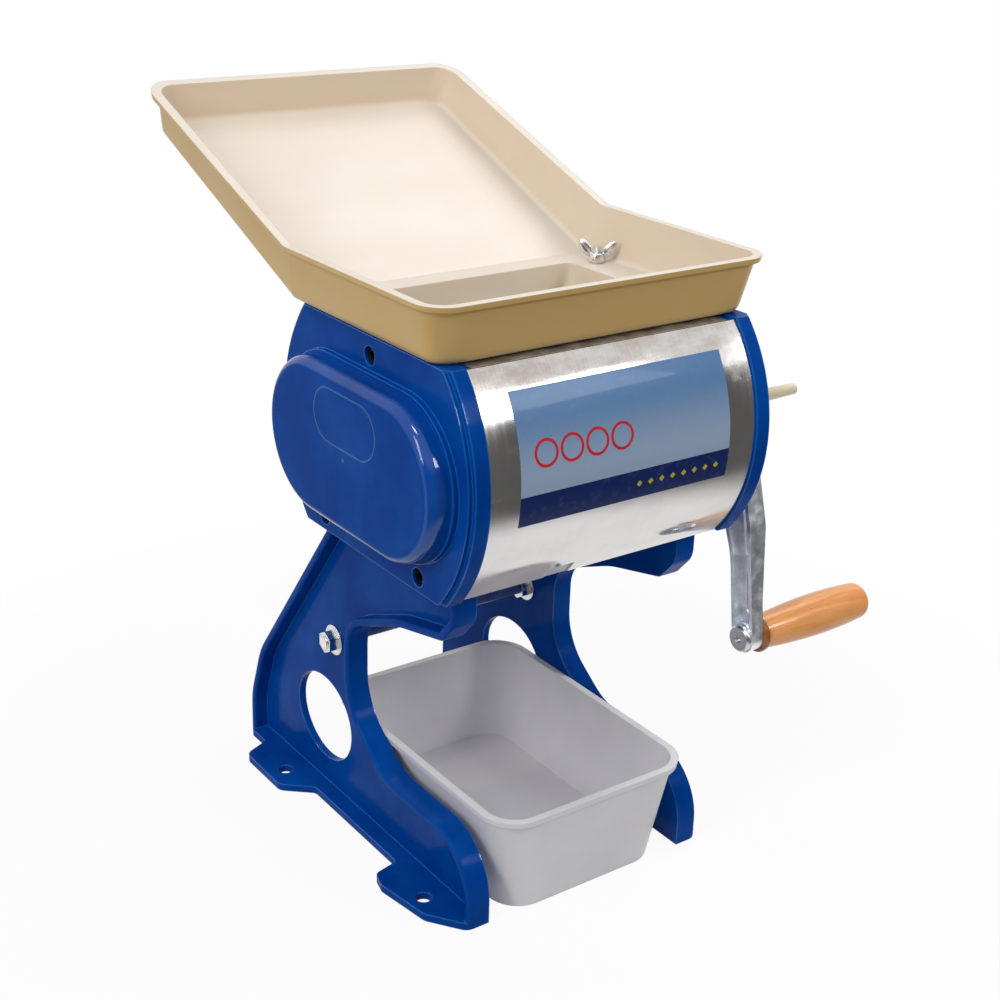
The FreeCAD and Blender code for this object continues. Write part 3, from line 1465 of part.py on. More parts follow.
def write():
    """Write each sub-part to its own file."""
    os.makedirs("parts", exist_ok=True)
    for name, obj in nodes.items():
        obj.Shape.exportStep(os.path.join("parts", f"{name}.step"))
        print(f"{name}: {len(obj.Shape.Solids)} solid(s), {obj.Shape.Volume / 1000:.1f} cm3")


fill_sheet()
build()
check()
write()
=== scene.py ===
"""The looks of a hand cranked slicer for jerky and other boneless meat.

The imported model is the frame: every piece keeps its place and its body. This script gives each
piece its finish, adds the finer pieces, and sets up the floor, the lamps and the camera.
"""

import json
import logging
import math
from abc import ABC, abstractmethod
from contextlib import contextmanager
from dataclasses import dataclass
from enum import Enum
from typing import Callable, Iterator, Sequence

import bmesh
import bpy
from mathutils import Euler, Matrix, Vector

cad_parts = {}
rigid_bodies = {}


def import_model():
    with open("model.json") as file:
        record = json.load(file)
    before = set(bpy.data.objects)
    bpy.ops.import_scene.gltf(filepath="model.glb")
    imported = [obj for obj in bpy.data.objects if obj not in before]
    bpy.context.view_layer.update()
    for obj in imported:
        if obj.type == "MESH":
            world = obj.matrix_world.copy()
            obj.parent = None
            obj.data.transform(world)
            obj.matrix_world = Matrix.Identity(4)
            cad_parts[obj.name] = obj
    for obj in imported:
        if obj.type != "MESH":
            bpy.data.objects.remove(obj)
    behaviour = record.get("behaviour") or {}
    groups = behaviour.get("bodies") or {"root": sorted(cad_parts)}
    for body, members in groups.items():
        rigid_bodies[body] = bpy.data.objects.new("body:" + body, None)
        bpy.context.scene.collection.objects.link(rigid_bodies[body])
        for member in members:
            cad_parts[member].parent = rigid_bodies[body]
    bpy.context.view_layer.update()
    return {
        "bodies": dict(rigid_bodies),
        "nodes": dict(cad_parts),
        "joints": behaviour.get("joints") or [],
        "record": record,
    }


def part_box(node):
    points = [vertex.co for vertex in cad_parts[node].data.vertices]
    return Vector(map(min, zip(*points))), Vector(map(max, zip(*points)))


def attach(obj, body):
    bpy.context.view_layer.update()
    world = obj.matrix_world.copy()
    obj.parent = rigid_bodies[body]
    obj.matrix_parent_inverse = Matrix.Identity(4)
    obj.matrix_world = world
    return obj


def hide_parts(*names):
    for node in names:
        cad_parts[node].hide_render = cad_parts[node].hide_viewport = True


log = logging.getLogger("slicer")

MM = 0.001

Colour = tuple[float, float, float]
Point = tuple[float, float, float]
Axis = tuple[float, float]  # the y and z of an axis along X
Span = tuple[float, float]  # two values between which something changes


class Body(Enum):
    """The bodies that new pieces ride on."""

    HOUSING = "housing"
    NUT = "nut"


class Slot(Enum):
    """Two of the record's material slots, by name."""

    STEEL = "steel_sheet"
    ZINC = "zinc"


# ---------------------------------------------------------------- shader graph

COLOUR_A, COLOUR_B, COLOUR_OUT = 6, 7, 2  # the colour sockets of a Mix node
SOFT = (0.3, 0.7)  # the values of a noise between which a soft pattern changes
CLEAR = (0.35, 0.65)  # those of a clearer one
EDGE_SPAN = (0.01, 0.25)  # 1 less the cosine between rounded and true normal, where the edge band starts and is full


class Wire:
    """A socket of a shader node, on which Python's operators add Math nodes."""

    def __init__(self, graph: "Graph", socket: bpy.types.NodeSocket) -> None:
        """Wrap an output socket of a graph."""
        self.graph = graph
        self.socket = socket

    def _with(self, operation: str, first: "Wire | float", second: "Wire | float") -> "Wire":
        """One Math node.

        Args:
            operation: the node's operation.
            first: its first value.
            second: its second value.

        Returns:
            The node's result.
        """
        return self.graph.node("ShaderNodeMath", {"operation": operation}, {0: first, 1: second})

    def __add__(self, other: "Wire | float") -> "Wire":
        """This value plus another."""
        return self._with("ADD", self, other)

    __radd__ = __add__

    def __sub__(self, other: "Wire | float") -> "Wire":
        """This value less another."""
        return self._with("SUBTRACT", self, other)

    def __rsub__(self, other: float) -> "Wire":
        """A number less this value."""
        return self._with("SUBTRACT", other, self)

    def __mul__(self, other: "Wire | float") -> "Wire":
        """This value times another."""
        return self._with("MULTIPLY", self, other)

    __rmul__ = __mul__

    def __truediv__(self, other: "Wire | float") -> "Wire":
        """This value over another."""
        return self._with("DIVIDE", self, other)

    def __abs__(self) -> "Wire":
        """This value without its sign."""
        return self._with("ABSOLUTE", self, 0.0)

    def at_most(self, other: "Wire | float") -> "Wire":
        """The lesser of two values."""
        return self._with("MINIMUM", self, other)

    def at_least(self, other: "Wire | float") -> "Wire":
        """The greater of two values."""
        return self._with("MAXIMUM", self, other)

    def above(self, edge: float) -> "Wire":
        """1 where this value is greater than an edge, else 0."""
        return self._with("GREATER_THAN", self, edge)

    def sine(self) -> "Wire":
        """The sine of this value."""
        return self._with("SINE", self, 0.0)

    def between(self, pitch: float) -> "Wire":
        """How far this value is from the nearest multiple of a pitch."""
        return self._with("PINGPONG", self, pitch / 2)

    def angle_to(self, across: "Wire") -> "Wire":
        """The angle whose tangent is this value over another."""
        return self._with("ARCTAN2", self, across)

    def hypotenuse(self, other: "Wire") -> "Wire":
        """The long side of a right-angled triangle with this value and another as its short sides."""
        return self._with("SQRT", self * self + other * other, 0.0)

    def spread(self, low: float, high: float, start: float = 0.0, end: float = 1.0) -> "Wire":
        """This value from one range to another, clamped.

        Args:
            low: the value that becomes start.
            high: the value that becomes end.
            start: the result at and before low.
            end: the result at and after high.

        Returns:
            The smoothed result.
        """
        sockets = {"Value": self, "From Min": low, "From Max": high, "To Min": start, "To Max": end}
        return self.graph.node("ShaderNodeMapRange", {"interpolation_type": "SMOOTHSTEP"}, sockets)


class Graph:
    """The node tree of a material or of the room."""

    def __init__(self, owner: bpy.types.ID) -> None:
        """Start with an empty tree.

        Args:
            owner: a new material or world.
        """
        owner.use_nodes = True
        self.tree = owner.node_tree
        self.tree.nodes.clear()

    def add(self, kind: str, settings: dict | None = None, sockets: dict | None = None) -> bpy.types.Node:
        """Add a node.

        Args:
            kind: the node's type.
            settings: its options, set before its sockets.
            sockets: values or wires by socket name or number.

        Returns:
            The node.
        """
        made = self.tree.nodes.new(kind)
        for option, value in (settings or {}).items():
            setattr(made, option, value)
        for key, value in (sockets or {}).items():
            if isinstance(value, Wire):
                self.tree.links.new(value.socket, made.inputs[key])
            else:
                made.inputs[key].default_value = value
        return made

    def node(
        self, kind: str, settings: dict | None = None, sockets: dict | None = None, out: str | int = 0
    ) -> Wire:
        """Add a node for one of its outputs.

        Args:
            kind: the node's type.
            settings: its options.
            sockets: values or wires by socket name or number.
            out: the output that is wanted.

        Returns:
            That output.
        """
        return Wire(self, self.add(kind, settings, sockets).outputs[out])

    def spot(self) -> Wire:
        """The point on the piece, in metres."""
        return self.node("ShaderNodeTexCoord", out="Object")

    def centred(self, centre: Sequence[float]) -> Wire:
        """The point on the piece measured from a centre, in metres."""
        return self.node("ShaderNodeVectorMath", {"operation": "SUBTRACT"}, {0: self.spot(), 1: centre})

    def stretched(self, scale: Point) -> Wire:
        """The point on the piece, stretched along each axis for a pattern."""
        return self.node("ShaderNodeMapping", {}, {"Vector": self.spot(), "Scale": scale})

    def facing(self, kind: str = "Normal") -> Wire:
        """The way the surface faces."""
        return self.node("ShaderNodeNewGeometry", out=kind)

    def parts(self, vector: Wire) -> list[Wire]:
        """The x, y and z of a vector."""
        split = self.add("ShaderNodeSeparateXYZ", {}, {0: vector})
        return [Wire(self, output) for output in split.outputs]

    def vector(self, x: Wire | float, y: Wire | float, z: Wire | float) -> Wire:
        """A vector of three values."""
        return self.node("ShaderNodeCombineXYZ", {}, {0: x, 1: y, 2: z})

    def noise(self, place: Wire, scale: float = 1.0, detail: float = 3.0, rough: float = 0.5) -> Wire:
        """Soft noise between 0 and 1.

        Args:
            place: the pattern's coordinates.
            scale: features per unit of them.
            detail: octaves.
            rough: strength of the finer octaves.

        Returns:
            The noise.
        """
        sockets = {"Vector": place, "Scale": scale, "Detail": detail, "Roughness": rough}
        return self.node("ShaderNodeTexNoise", {}, sockets)

    def blend(self, share: Wire, low: Wire | Colour, high: Wire | Colour) -> Wire:
        """A colour between two.

        Args:
            share: 0 for the first colour and 1 for the second.
            low: the first colour.
            high: the second colour.

        Returns:
            The colour between them.
        """
        first, second = (end if isinstance(end, Wire) else (*end, 1.0) for end in (low, high))
        sockets = {0: share, COLOUR_A: first, COLOUR_B: second}
        return self.node("ShaderNodeMix", {"data_type": "RGBA"}, sockets, out=COLOUR_OUT)

    def bump(self, height: Wire, depth: float, strength: float = 1.0, under: Wire | None = None) -> Wire:
        """A normal that follows a height.

        Args:
            height: the height, from 0 to 1.
            depth: how many metres a height of 1 stands for.
            strength: how much of it shows.
            under: the normal below it.

        Returns:
            The normal.
        """
        sockets = {"Height": height, "Distance": depth, "Strength": strength}
        if under is not None:
            sockets["Normal"] = under
        return self.node("ShaderNodeBump", {}, sockets)

    def thread(self, along: Wire, pitch: float, depth: float, under: Wire | None = None) -> Wire:
        """A normal that follows the ridges of a screw thread.

        Args:
            along: the place along the screw.
            pitch: from ridge to ridge.
            depth: the height of a ridge, as a share of the pitch.
            under: the normal below it.

        Returns:
            The normal.
        """
        ridges = (along * (2 * math.pi / pitch)).sine() * 0.5 + 0.5
        return self.bump(ridges, depth * pitch, under=under)

    def softened(self, radius: float) -> Wire:
        """A normal that rounds edges over a radius in metres."""
        return self.node("ShaderNodeBevel", {"samples": 4}, {"Radius": radius})

    def edge_band(self, width: float) -> Wire:
        """Where the edges are, from how far the rounded normal leaves the true one.

        Args:
            width: how far an edge reaches, in metres.

        Returns:
            1 on edges and 0 on flats.
        """
        normals = {0: self.softened(width), 1: self.facing()}
        agreed = self.node("ShaderNodeVectorMath", {"operation": "DOT_PRODUCT"}, normals, out="Value")
        return (1 - agreed).spread(*EDGE_SPAN)

    def shade(self, **sockets: "Wire | float | Colour") -> None:
        """Close the graph with one Principled shader.

        Args:
            sockets: the shader's sockets, with _ for each space.
        """
        values = {key.replace("_", " "): value for key, value in sockets.items()}
        self.close(self.node("ShaderNodeBsdfPrincipled", {}, values))

    def close(self, shader: Wire, output: str = "ShaderNodeOutputMaterial") -> None:
        """Send a shader to the surface of the material or world."""
        self.add(output, {}, {"Surface": shader})


# ---------------------------------------------------------------- finishes


@dataclass(frozen=True)
class Finish(ABC):
    """A finish: its colours and sizes are fields, and paint lays its nodes."""

    name: str

    def material(self) -> bpy.types.Material:
        """Make the finish as a material.

        Returns:
            The new material.
        """
        material = bpy.data.materials.new(self.name)
        self.paint(Graph(material))
        return material

    @abstractmethod
    def paint(self, graph: Graph) -> None:
        """Lay the nodes of the finish in an empty graph."""


@dataclass(frozen=True)
class Enamel(Finish):
    """Enamel sprayed on a sand casting: soft clouds, orange peel, glossier edges, and a painted highlight
    of lighter blue along the edges.
    """

    name: str = "blue enamel"
    deep: Colour = (0.0008, 0.050, 0.30)
    light: Colour = (0.0014, 0.074, 0.38)
    # painted highlight: the lighter blue laid along the edges
    edge: Colour = (0.02, 0.25, 0.80)
    clouds: float = 22
    cast: float = 120
    cast_depth: float = 0.25 * MM
    peel: float = 900
    peel_depth: float = 0.03 * MM
    smooth: float = 0.12
    uneven: float = 0.10
    gloss: float = 0.02
    round: float = 0.9 * MM
    edge_width: float = 1.6 * MM
    edge_highlight_share: float = 0.7
    edge_coat: float = 0.9
    cloud_coat: float = 0.06
    cloud_coated: Span = (0.45, 0.75)
    coat_rough: float = 0.06

    def paint(self, graph: Graph) -> None:
        """Lay the enamel.

        Args:
            graph: the material's graph.
        """
        spot = graph.spot()
        cloud = graph.noise(spot, self.clouds, detail=4, rough=0.55)
        cast = graph.noise(spot, self.cast)
        peel = graph.noise(spot, self.peel, detail=2)
        edge_band = graph.edge_band(self.edge_width)
        colour = graph.blend(cloud.spread(*SOFT), self.deep, self.light)
        # painted highlight: the edges are blended towards a lighter blue
        colour = graph.blend(edge_band * self.edge_highlight_share, colour, self.edge)
        coat = edge_band * self.edge_coat + cloud.spread(*self.cloud_coated) * self.cloud_coat
        normal = graph.bump(cast, self.cast_depth, strength=0.35, under=graph.softened(self.round))
        normal = graph.bump(peel, self.peel_depth, strength=0.5, under=normal)
        colour, coat, normal = self.marked(graph, colour, coat, normal)
        graph.shade(
            Base_Color=colour,
            Roughness=cloud * self.uneven + self.smooth,
            Normal=normal,
            Specular_IOR_Level=self.gloss,
            Coat_Weight=coat,
            Coat_Roughness=self.coat_rough,
        )

    def marked(self, graph: Graph, colour: Wire, coat: Wire, normal: Wire) -> tuple[Wire, Wire, Wire]:
        """The colour, coat and normal with the piece's own marks, of which plain enamel has none."""
        return colour, coat, normal


@dataclass(frozen=True)
class CoverEnamel(Enamel):
    """The gear cover's enamel: a raised oval line, the dot of a gate and a glossier rim."""

    name: str = "gear cover enamel"
    line: Colour = (0.25, 0.45, 0.8)
    line_tint: float = 0.25
    line_depth: float = 0.35 * MM
    line_half: Span = (0.25 * MM, 0.75 * MM)
    oval_centre: Axis = (-39.4 * MM, 295.8 * MM)
    oval_long: float = 32.2 * MM
    oval_tall: float = 15.7 * MM
    gate_centre: Axis = (-38.6 * MM, 274.2 * MM)
    gate_radius: Span = (0.8 * MM, 1.4 * MM)
    rim_coat: float = 0.75
    rim_faces: Span = (0.90, 0.99)

    def marked(self, graph: Graph, colour: Wire, coat: Wire, normal: Wire) -> tuple[Wire, Wire, Wire]:
        """Add the line, the dot and the rim's coat.

        Args:
            graph: the material's graph.
            colour: the enamel's colour.
            coat: its clear coat.
            normal: its normal.

        Returns:
            The three with the marks.
        """
        outward, _, _ = graph.parts(graph.facing())
        coat = coat + abs(outward).spread(*self.rim_faces, self.rim_coat, 0.0)
        mark = self.mark(graph)
        colour = graph.blend(mark * self.line_tint, colour, self.line)
        return colour, coat, graph.bump(mark, self.line_depth, under=normal)

    def mark(self, graph: Graph) -> Wire:
        """Where the oval line and the gate's dot are.

        Args:
            graph: the material's graph.

        Returns:
            1 on the line and the dot and 0 elsewhere.
        """
        _, along, up = graph.parts(graph.centred((0.0, *self.oval_centre)))
        past = (abs(along) - self.oval_long + self.oval_tall).at_least(0.0)
        line = 1 - abs(past.hypotenuse(up) - self.oval_tall).spread(*self.line_half)
        _, aside, above = graph.parts(graph.centred((0.0, *self.gate_centre)))
        dot = 1 - aside.hypotenuse(above).spread(*self.gate_radius)
        return line + dot


@dataclass(frozen=True)
class DrumSheet(Finish):
    """Polished stainless sheet, brushed round the drum near its ends; browner high up as a painted
    reflection of the tray above it, and mottled, partly with stains and partly with painted reflection.
    """

    name: str = "polished sheet"
    axis: Axis = (0.0, 0.0)
    bright: Colour = (0.70, 0.685, 0.675)
    # the brownish colour of stains and of the painted reflection of the tray
    dull: Colour = (0.50, 0.45, 0.42)
    brush: Point = (900, 1.6, 0.0)
    scuff: Point = (30, 5, 3.0)
    wave: Point = (14, 2.2, 7.0)
    brush_depth: float = 0.02 * MM
    wave_depth: float = 1.4 * MM
    brushed: Span = (60 * MM, 92 * MM)
    high: Span = (20 * MM, 80 * MM)
    high_reflection: float = 0.4
    low_stain: float = 0.2
    mottled: Span = (0.36, 0.60)
    scuffed: Span = (0.55, 0.75)
    smooth: float = 0.06
    brush_rough: float = 0.05
    end_rough: float = 0.24
    scuff_rough: float = 0.10

    def paint(self, graph: Graph) -> None:
        """Lay the sheet steel.

        Args:
            graph: the material's graph.
        """
        along, back, up = graph.parts(graph.centred((0.0, *self.axis)))
        turn = up.angle_to(back)
        brush = graph.noise(self.rolled(graph, along, turn, self.brush), detail=4, rough=0.7)
        scuff = graph.noise(self.rolled(graph, along, turn, self.scuff), detail=5, rough=0.65)
        wave = graph.noise(self.rolled(graph, along, turn, self.wave), detail=2)
        ends = abs(along).spread(*self.brushed)
        high = up.spread(*self.high)
        # painted reflection: the mottling is stains low down and partly the tray's reflection high up,
        # and the whole top is browner as the reflected tray
        stain_and_reflection = (scuff * 0.75 + brush * 0.25).spread(*self.mottled, 1.0, 0.0)
        reflection_and_stain = stain_and_reflection * (high * (1 - self.low_stain) + self.low_stain) + high * self.high_reflection
        rough = self.smooth + brush * self.brush_rough + ends * brush * self.end_rough
        normal = graph.bump(wave, self.wave_depth, strength=0.35)
        graph.shade(
            Base_Color=graph.blend(reflection_and_stain, self.bright, self.dull),
            Metallic=1.0,
            Roughness=rough + scuff.spread(*self.scuffed) * self.scuff_rough,
            Normal=graph.bump(brush * ends, self.brush_depth, strength=0.5, under=normal),
        )

    def rolled(self, graph: Graph, along: Wire, turn: Wire, pattern: Point) -> Wire:
        """Coordinates of a pattern that runs round the drum.

        Args:
            graph: the material's graph.
            along: the place along the drum.
            turn: the place round it, in radians.
            pattern: how closely it runs along and round the drum, and its layer of the noise.

        Returns:
            The coordinates.
        """
        lengthwise, crosswise, layer = pattern
        return graph.vector(along * lengthwise, turn * crosswise, layer)


@dataclass(frozen=True)
class MetalFinish(Finish):
    """A metal with tool marks in one direction, dull spots and softened edges."""

    bright: Colour
    dull: Colour
    smooth: float
    coarse: float
    marks: Point = (1500, 60, 60)
    marks_depth: float = 0.02 * MM
    marks_rough: float = 0.08
    spots: float = 140
    spotted: Span = (0.35, 0.7)
    round: float = 0.4 * MM

    def paint(self, graph: Graph) -> None:
        """Lay the metal.

        Args:
            graph: the material's graph.
        """
        marks = graph.noise(graph.stretched(self.marks), detail=4, rough=0.65)
        spots = graph.noise(graph.spot(), self.spots, detail=4, rough=0.6)
        colour = graph.blend((marks * 0.6 + spots * 0.4).spread(*CLEAR), self.dull, self.bright)
        rough = spots.spread(*self.spotted, self.smooth, self.coarse) + marks * self.marks_rough
        normal = graph.bump(marks, self.marks_depth, strength=0.6, under=self.edges(graph))
        graph.shade(Base_Color=colour, Metallic=1.0, Roughness=rough, Normal=normal)

    def edges(self, graph: Graph) -> Wire:
        """The normal under the tool marks."""
        return graph.softened(self.round)


@dataclass(frozen=True)
class StudThread(MetalFinish):
    """A metal cut with a thread about an upright axis."""

    pitch: float = 0.8 * MM
    ridge: float = 0.45

    def edges(self, graph: Graph) -> Wire:
        """The thread's normal over the softened edges."""
        _, _, up = graph.parts(graph.spot())
        return graph.thread(up, self.pitch, self.ridge, super().edges(graph))


@dataclass(frozen=True)
class PaintedRod(Finish):
    """A zinc plated threaded rod, sprayed blue with the stands between their webs."""

    name: str = "painted thread"
    zinc: Colour = (0.78, 0.79, 0.78)
    blue: Colour = (0.0008, 0.050, 0.30)
    spots: float = 140
    smooth: float = 0.2
    uneven: float = 0.2
    pitch: float = 1.25 * MM
    ridge: float = 0.3
    painted_half: float = 76 * MM

    def paint(self, graph: Graph) -> None:
        """Lay the zinc and the paint.

        Args:
            graph: the material's graph.
        """
        along, _, _ = graph.parts(graph.spot())
        spots = graph.noise(graph.spot(), self.spots, detail=4, rough=0.6)
        bare = abs(along).above(self.painted_half)
        graph.shade(
            Base_Color=graph.blend((spots * 0.3 + bare).spread(0.0, 1.0), self.blue, self.zinc),
            Metallic=bare,
            Roughness=spots * self.uneven + self.smooth,
            Normal=graph.thread(along, self.pitch, self.ridge),
        )


@dataclass(frozen=True)
class TurnedSteel(Finish):
    """Steel turned or ground on a lathe: fine rings about an axis along X."""

    bright: Colour
    dull: Colour
    axis: Axis
    pitch: float = 0.35 * MM
    smooth: float = 0.16
    ring_depth: float = 0.03 * MM
    ring_rough: float = 0.18
    clouds: float = 90
    cloud_rough: float = 0.1
    round: float = 0.3 * MM

    def paint(self, graph: Graph) -> None:
        """Lay the turned steel.

        Args:
            graph: the material's graph.
        """
        along, back, up = graph.parts(graph.centred((0.0, *self.axis)))
        place = graph.vector(back.hypotenuse(up) / self.pitch, along / self.pitch, 0.0)
        rings = graph.noise(place, rough=0.6)
        cloud = graph.noise(graph.spot(), self.clouds, detail=4, rough=0.6)
        graph.shade(
            Base_Color=graph.blend((rings * 0.6 + cloud * 0.4).spread(*CLEAR), self.dull, self.bright),
            Metallic=1.0,
            Roughness=rings * self.ring_rough + cloud * self.cloud_rough + self.smooth,
            Normal=graph.bump(rings, self.ring_depth, strength=0.6, under=graph.softened(self.round)),
        )


@dataclass(frozen=True)
class Moulded(Finish):
    """Moulded plastic: a soft gloss, faint clouding and flow marks, rounded edges."""

    pale: Colour
    deep: Colour
    smooth: float = 0.22
    coarse: float = 0.36
    gloss: float = 0.5
    glow: float = 0.0
    glow_tint: Colour = (1.0, 0.7, 0.4)
    glow_depth: float = 4 * MM
    clouds: float = 16
    flow: Point = (6, 30, 30)
    flow_depth: float = 0.25 * MM
    grain: float = 1400
    grain_depth: float = 0.02 * MM
    round: float = 0.6 * MM

    def paint(self, graph: Graph) -> None:
        """Lay the plastic.

        Args:
            graph: the material's graph.
        """
        cloud = graph.noise(graph.spot(), self.clouds, detail=4, rough=0.55)
        flow = graph.noise(graph.stretched(self.flow))
        grain = graph.noise(graph.spot(), self.grain, detail=2)
        share = self.deep_share(graph, (cloud * 0.6 + flow * 0.4).spread(*SOFT))
        normal = graph.bump(flow, self.flow_depth, strength=0.25, under=graph.softened(self.round))
        graph.shade(
            Base_Color=graph.blend(share, self.pale, self.deep),
            Roughness=cloud.spread(*SOFT, self.smooth, self.coarse),
            Specular_IOR_Level=self.gloss,
            Normal=graph.bump(grain, self.grain_depth, strength=0.5, under=normal),
            Subsurface_Weight=self.glow,
            Subsurface_Radius=self.glow_tint,
            Subsurface_Scale=self.glow_depth,
        )

    def deep_share(self, graph: Graph, clouds: Wire) -> Wire:
        """How much of the deeper colour shows, here from the clouding alone."""
        return clouds


@dataclass(frozen=True)
class TrayPlastic(Moulded):
    """The tray's cream plastic with painted shade: a little deeper on its inner walls, and deepest on its
    outside and on faces turned down.
    """

    cloud_share: float = 0.10
    wall_shade: float = 0.25
    wall_faces: Span = (0.25, 0.85)
    below_faces: Span = (-0.7, -0.45)
    outside_reach: Span = (75 * MM, 90 * MM)

    def deep_share(self, graph: Graph, clouds: Wire) -> Wire:
        """How much of the deeper colour shows, as painted shade and clouding.

        A wall is an outer one where it faces away from the tray's middle.

        Args:
            graph: the material's graph.
            clouds: the plastic's clouding.

        Returns:
            The share of the deeper colour.
        """
        across, back, _ = graph.parts(graph.spot())
        to_right, to_back, to_top = graph.parts(graph.facing("True Normal"))
        # painted shade: the deeper colour on upright walls, more on walls facing out and on faces turned
        # down
        upright = 1 - abs(to_top).spread(*self.wall_faces)
        below = to_top.spread(*self.below_faces, 1.0, 0.0)
        outside = (across * to_right + back * to_back).spread(*self.outside_reach).at_least(below)
        share = upright * self.wall_shade + outside * (1 - self.wall_shade)
        return (share + clouds * self.cloud_share).at_most(1.0)


@dataclass(frozen=True)
class TurnedWood(Finish):
    """Varnished hardwood with grain along the handle: fibres, year rings and dark pores."""

    name: str = "varnished handle wood"
    pale: Colour = (1.0, 0.45, 0.15)
    dark: Colour = (0.84, 0.31, 0.08)
    pore: Colour = (0.25, 0.09, 0.03)
    fibres: Point = (26, 420, 300)
    bands: Point = (9, 150, 70)
    pores: Point = (160, 2200, 2200)
    rings: float = 26
    fibre_depth: float = 0.12 * MM
    round: float = 0.6 * MM
    pored: Span = (0.66, 0.74)
    pore_share: float = 0.5
    smooth: float = 0.22
    uneven: float = 0.18
    gloss: float = 0.25
    varnish: Span = (0.45, 0.25)
    varnish_rough: float = 0.12

    def paint(self, graph: Graph) -> None:
        """Lay the wood and its varnish.

        Args:
            graph: the material's graph.
        """
        fibre = graph.noise(graph.stretched(self.fibres), detail=6, rough=0.62)
        band = graph.noise(graph.stretched(self.bands))
        pore = graph.noise(graph.stretched(self.pores), detail=2).spread(*self.pored)
        ring = (band * self.rings).sine() * 0.5 + 0.5
        share = (fibre * 0.55 + ring * 0.3 + band * 0.15).spread(0.25, 0.85)
        colour = graph.blend(share, self.pale, self.dark)
        graph.shade(
            Base_Color=graph.blend(pore * self.pore_share, colour, self.pore),
            Roughness=fibre * self.uneven + self.smooth,
            Normal=graph.bump(fibre, self.fibre_depth, strength=0.25, under=graph.softened(self.round)),
            Specular_IOR_Level=self.gloss,
            Coat_Weight=fibre.spread(0.2, 0.8, *self.varnish),
            Coat_Roughness=self.varnish_rough,
        )


@dataclass(frozen=True)
class PrintedLabel(Finish):
    """A printed film: a field that fades upwards, a row of rings, and a band with lozenges.

    Heights round the drum are angles above the level of its axis.
    """

    name: str = "printed label"
    axis: Axis = (0.0, 0.0)
    top: Colour = (0.062, 0.19, 0.42)
    low: Colour = (0.34, 0.44, 0.60)
    band: Colour = (0.004, 0.020, 0.13)
    red: Colour = (0.62, 0.02, 0.03)
    yellow: Colour = (0.62, 0.48, 0.03)
    haze: Colour = (0.7, 0.75, 0.85)
    drum_radius: float = 98 * MM
    fade: Span = (math.radians(2), math.radians(30))
    band_top: float = math.radians(-0.7)
    band_edge: float = 0.002
    ring_last: float = -5 * MM
    ring_pitch: float = 17 * MM
    ring_radius: float = 7 * MM
    ring_line: Span = (0.7 * MM, 1.0 * MM)
    ring_height: float = math.radians(12)
    ring_row: tuple[float, float] = (-30.5 * MM, 34 * MM)
    bead_pitch: float = 8 * MM
    bead_half: float = 1.9 * MM
    bead_edge: float = 0.2 * MM
    bead_height: float = math.radians(-5.6)
    bead_row: tuple[float, float] = (36 * MM, 32 * MM)
    haze_grain: float = 260
    hazed: Span = (0.5, 0.9)
    haze_share: float = 0.06
    film: Point = (30, 90, 90)
    film_depth: float = 0.25 * MM
    smooth: float = 0.24
    uneven: float = 0.16
    gloss: float = 0.2
    coat: float = 0.2

    def paint(self, graph: Graph) -> None:
        """Lay the print.

        Args:
            graph: the material's graph.
        """
        along, back, up = graph.parts(graph.centred((0.0, *self.axis)))
        turn = up.angle_to(0.0 - back)
        field = turn.spread(self.band_top - self.band_edge, self.band_top + self.band_edge)
        haze = graph.noise(graph.spot(), self.haze_grain).spread(*self.hazed)
        film = graph.noise(graph.stretched(self.film))
        colour = graph.blend(turn.spread(*self.fade), self.low, self.top)
        colour = graph.blend(1 - field, colour, self.band)
        colour = graph.blend(self.rings(along, turn), colour, self.red)
        colour = graph.blend(self.beads(along, turn), colour, self.yellow)
        graph.shade(
            Base_Color=graph.blend(haze * self.haze_share, colour, self.haze),
            Roughness=film * self.uneven + self.smooth,
            Normal=graph.bump(film, self.film_depth, strength=0.3),
            Specular_IOR_Level=self.gloss,
            Coat_Weight=film * self.coat,
        )

    def rings(self, along: Wire, turn: Wire) -> Wire:
        """Where the row of thin rings is, like slices laid side by side.

        Args:
            along: the place along the drum.
            turn: the height round it, in radians.

        Returns:
            1 on a ring's line and 0 elsewhere.
        """
        aside = (along - self.ring_last).between(self.ring_pitch)
        above = (turn - self.ring_height) * self.drum_radius
        line = 1 - abs(aside.hypotenuse(above) - self.ring_radius).spread(*self.ring_line)
        return line * self.row(along, self.ring_row)

    def beads(self, along: Wire, turn: Wire) -> Wire:
        """Where the row of lozenges is.

        Args:
            along: the place along the drum.
            turn: the height round it, in radians.

        Returns:
            1 on a lozenge and 0 elsewhere.
        """
        aside = along.between(self.bead_pitch)
        above = abs(turn - self.bead_height) * self.drum_radius
        dot = 1 - (aside + above).spread(self.bead_half - self.bead_edge, self.bead_half + self.bead_edge)
        return dot * self.row(along, self.bead_row)

    def row(self, along: Wire, place: tuple[float, float]) -> Wire:
        """1 within a row, given by its middle and half its length, and 0 beyond it."""
        middle, half = place
        return 1 - abs(along - middle).above(half)


# ---------------------------------------------------------------- modelling


def clear_selection() -> None:
    """Leave edit mode and select nothing."""
    if bpy.context.object is not None and bpy.context.object.mode != "OBJECT":
        bpy.ops.object.mode_set(mode="OBJECT")
    bpy.ops.object.select_all(action="DESELECT")


def settle(piece: bpy.types.Object) -> None:
    """Make one piece the only selected and active one, outside edit mode.

    Args:
        piece: the piece.
    """
    clear_selection()
    piece.select_set(True)
    bpy.context.view_layer.objects.active = piece


@contextmanager
def editing(piece: bpy.types.Object) -> Iterator[None]:
    """Edit one piece, with all of it deselected at the start.

    Args:
        piece: the mesh object.
    """
    settle(piece)
    bpy.ops.object.mode_set(mode="EDIT")
    bpy.ops.mesh.select_mode(type="FACE")
    bpy.ops.mesh.select_all(action="DESELECT")
    yield
    bpy.ops.object.mode_set(mode="OBJECT")


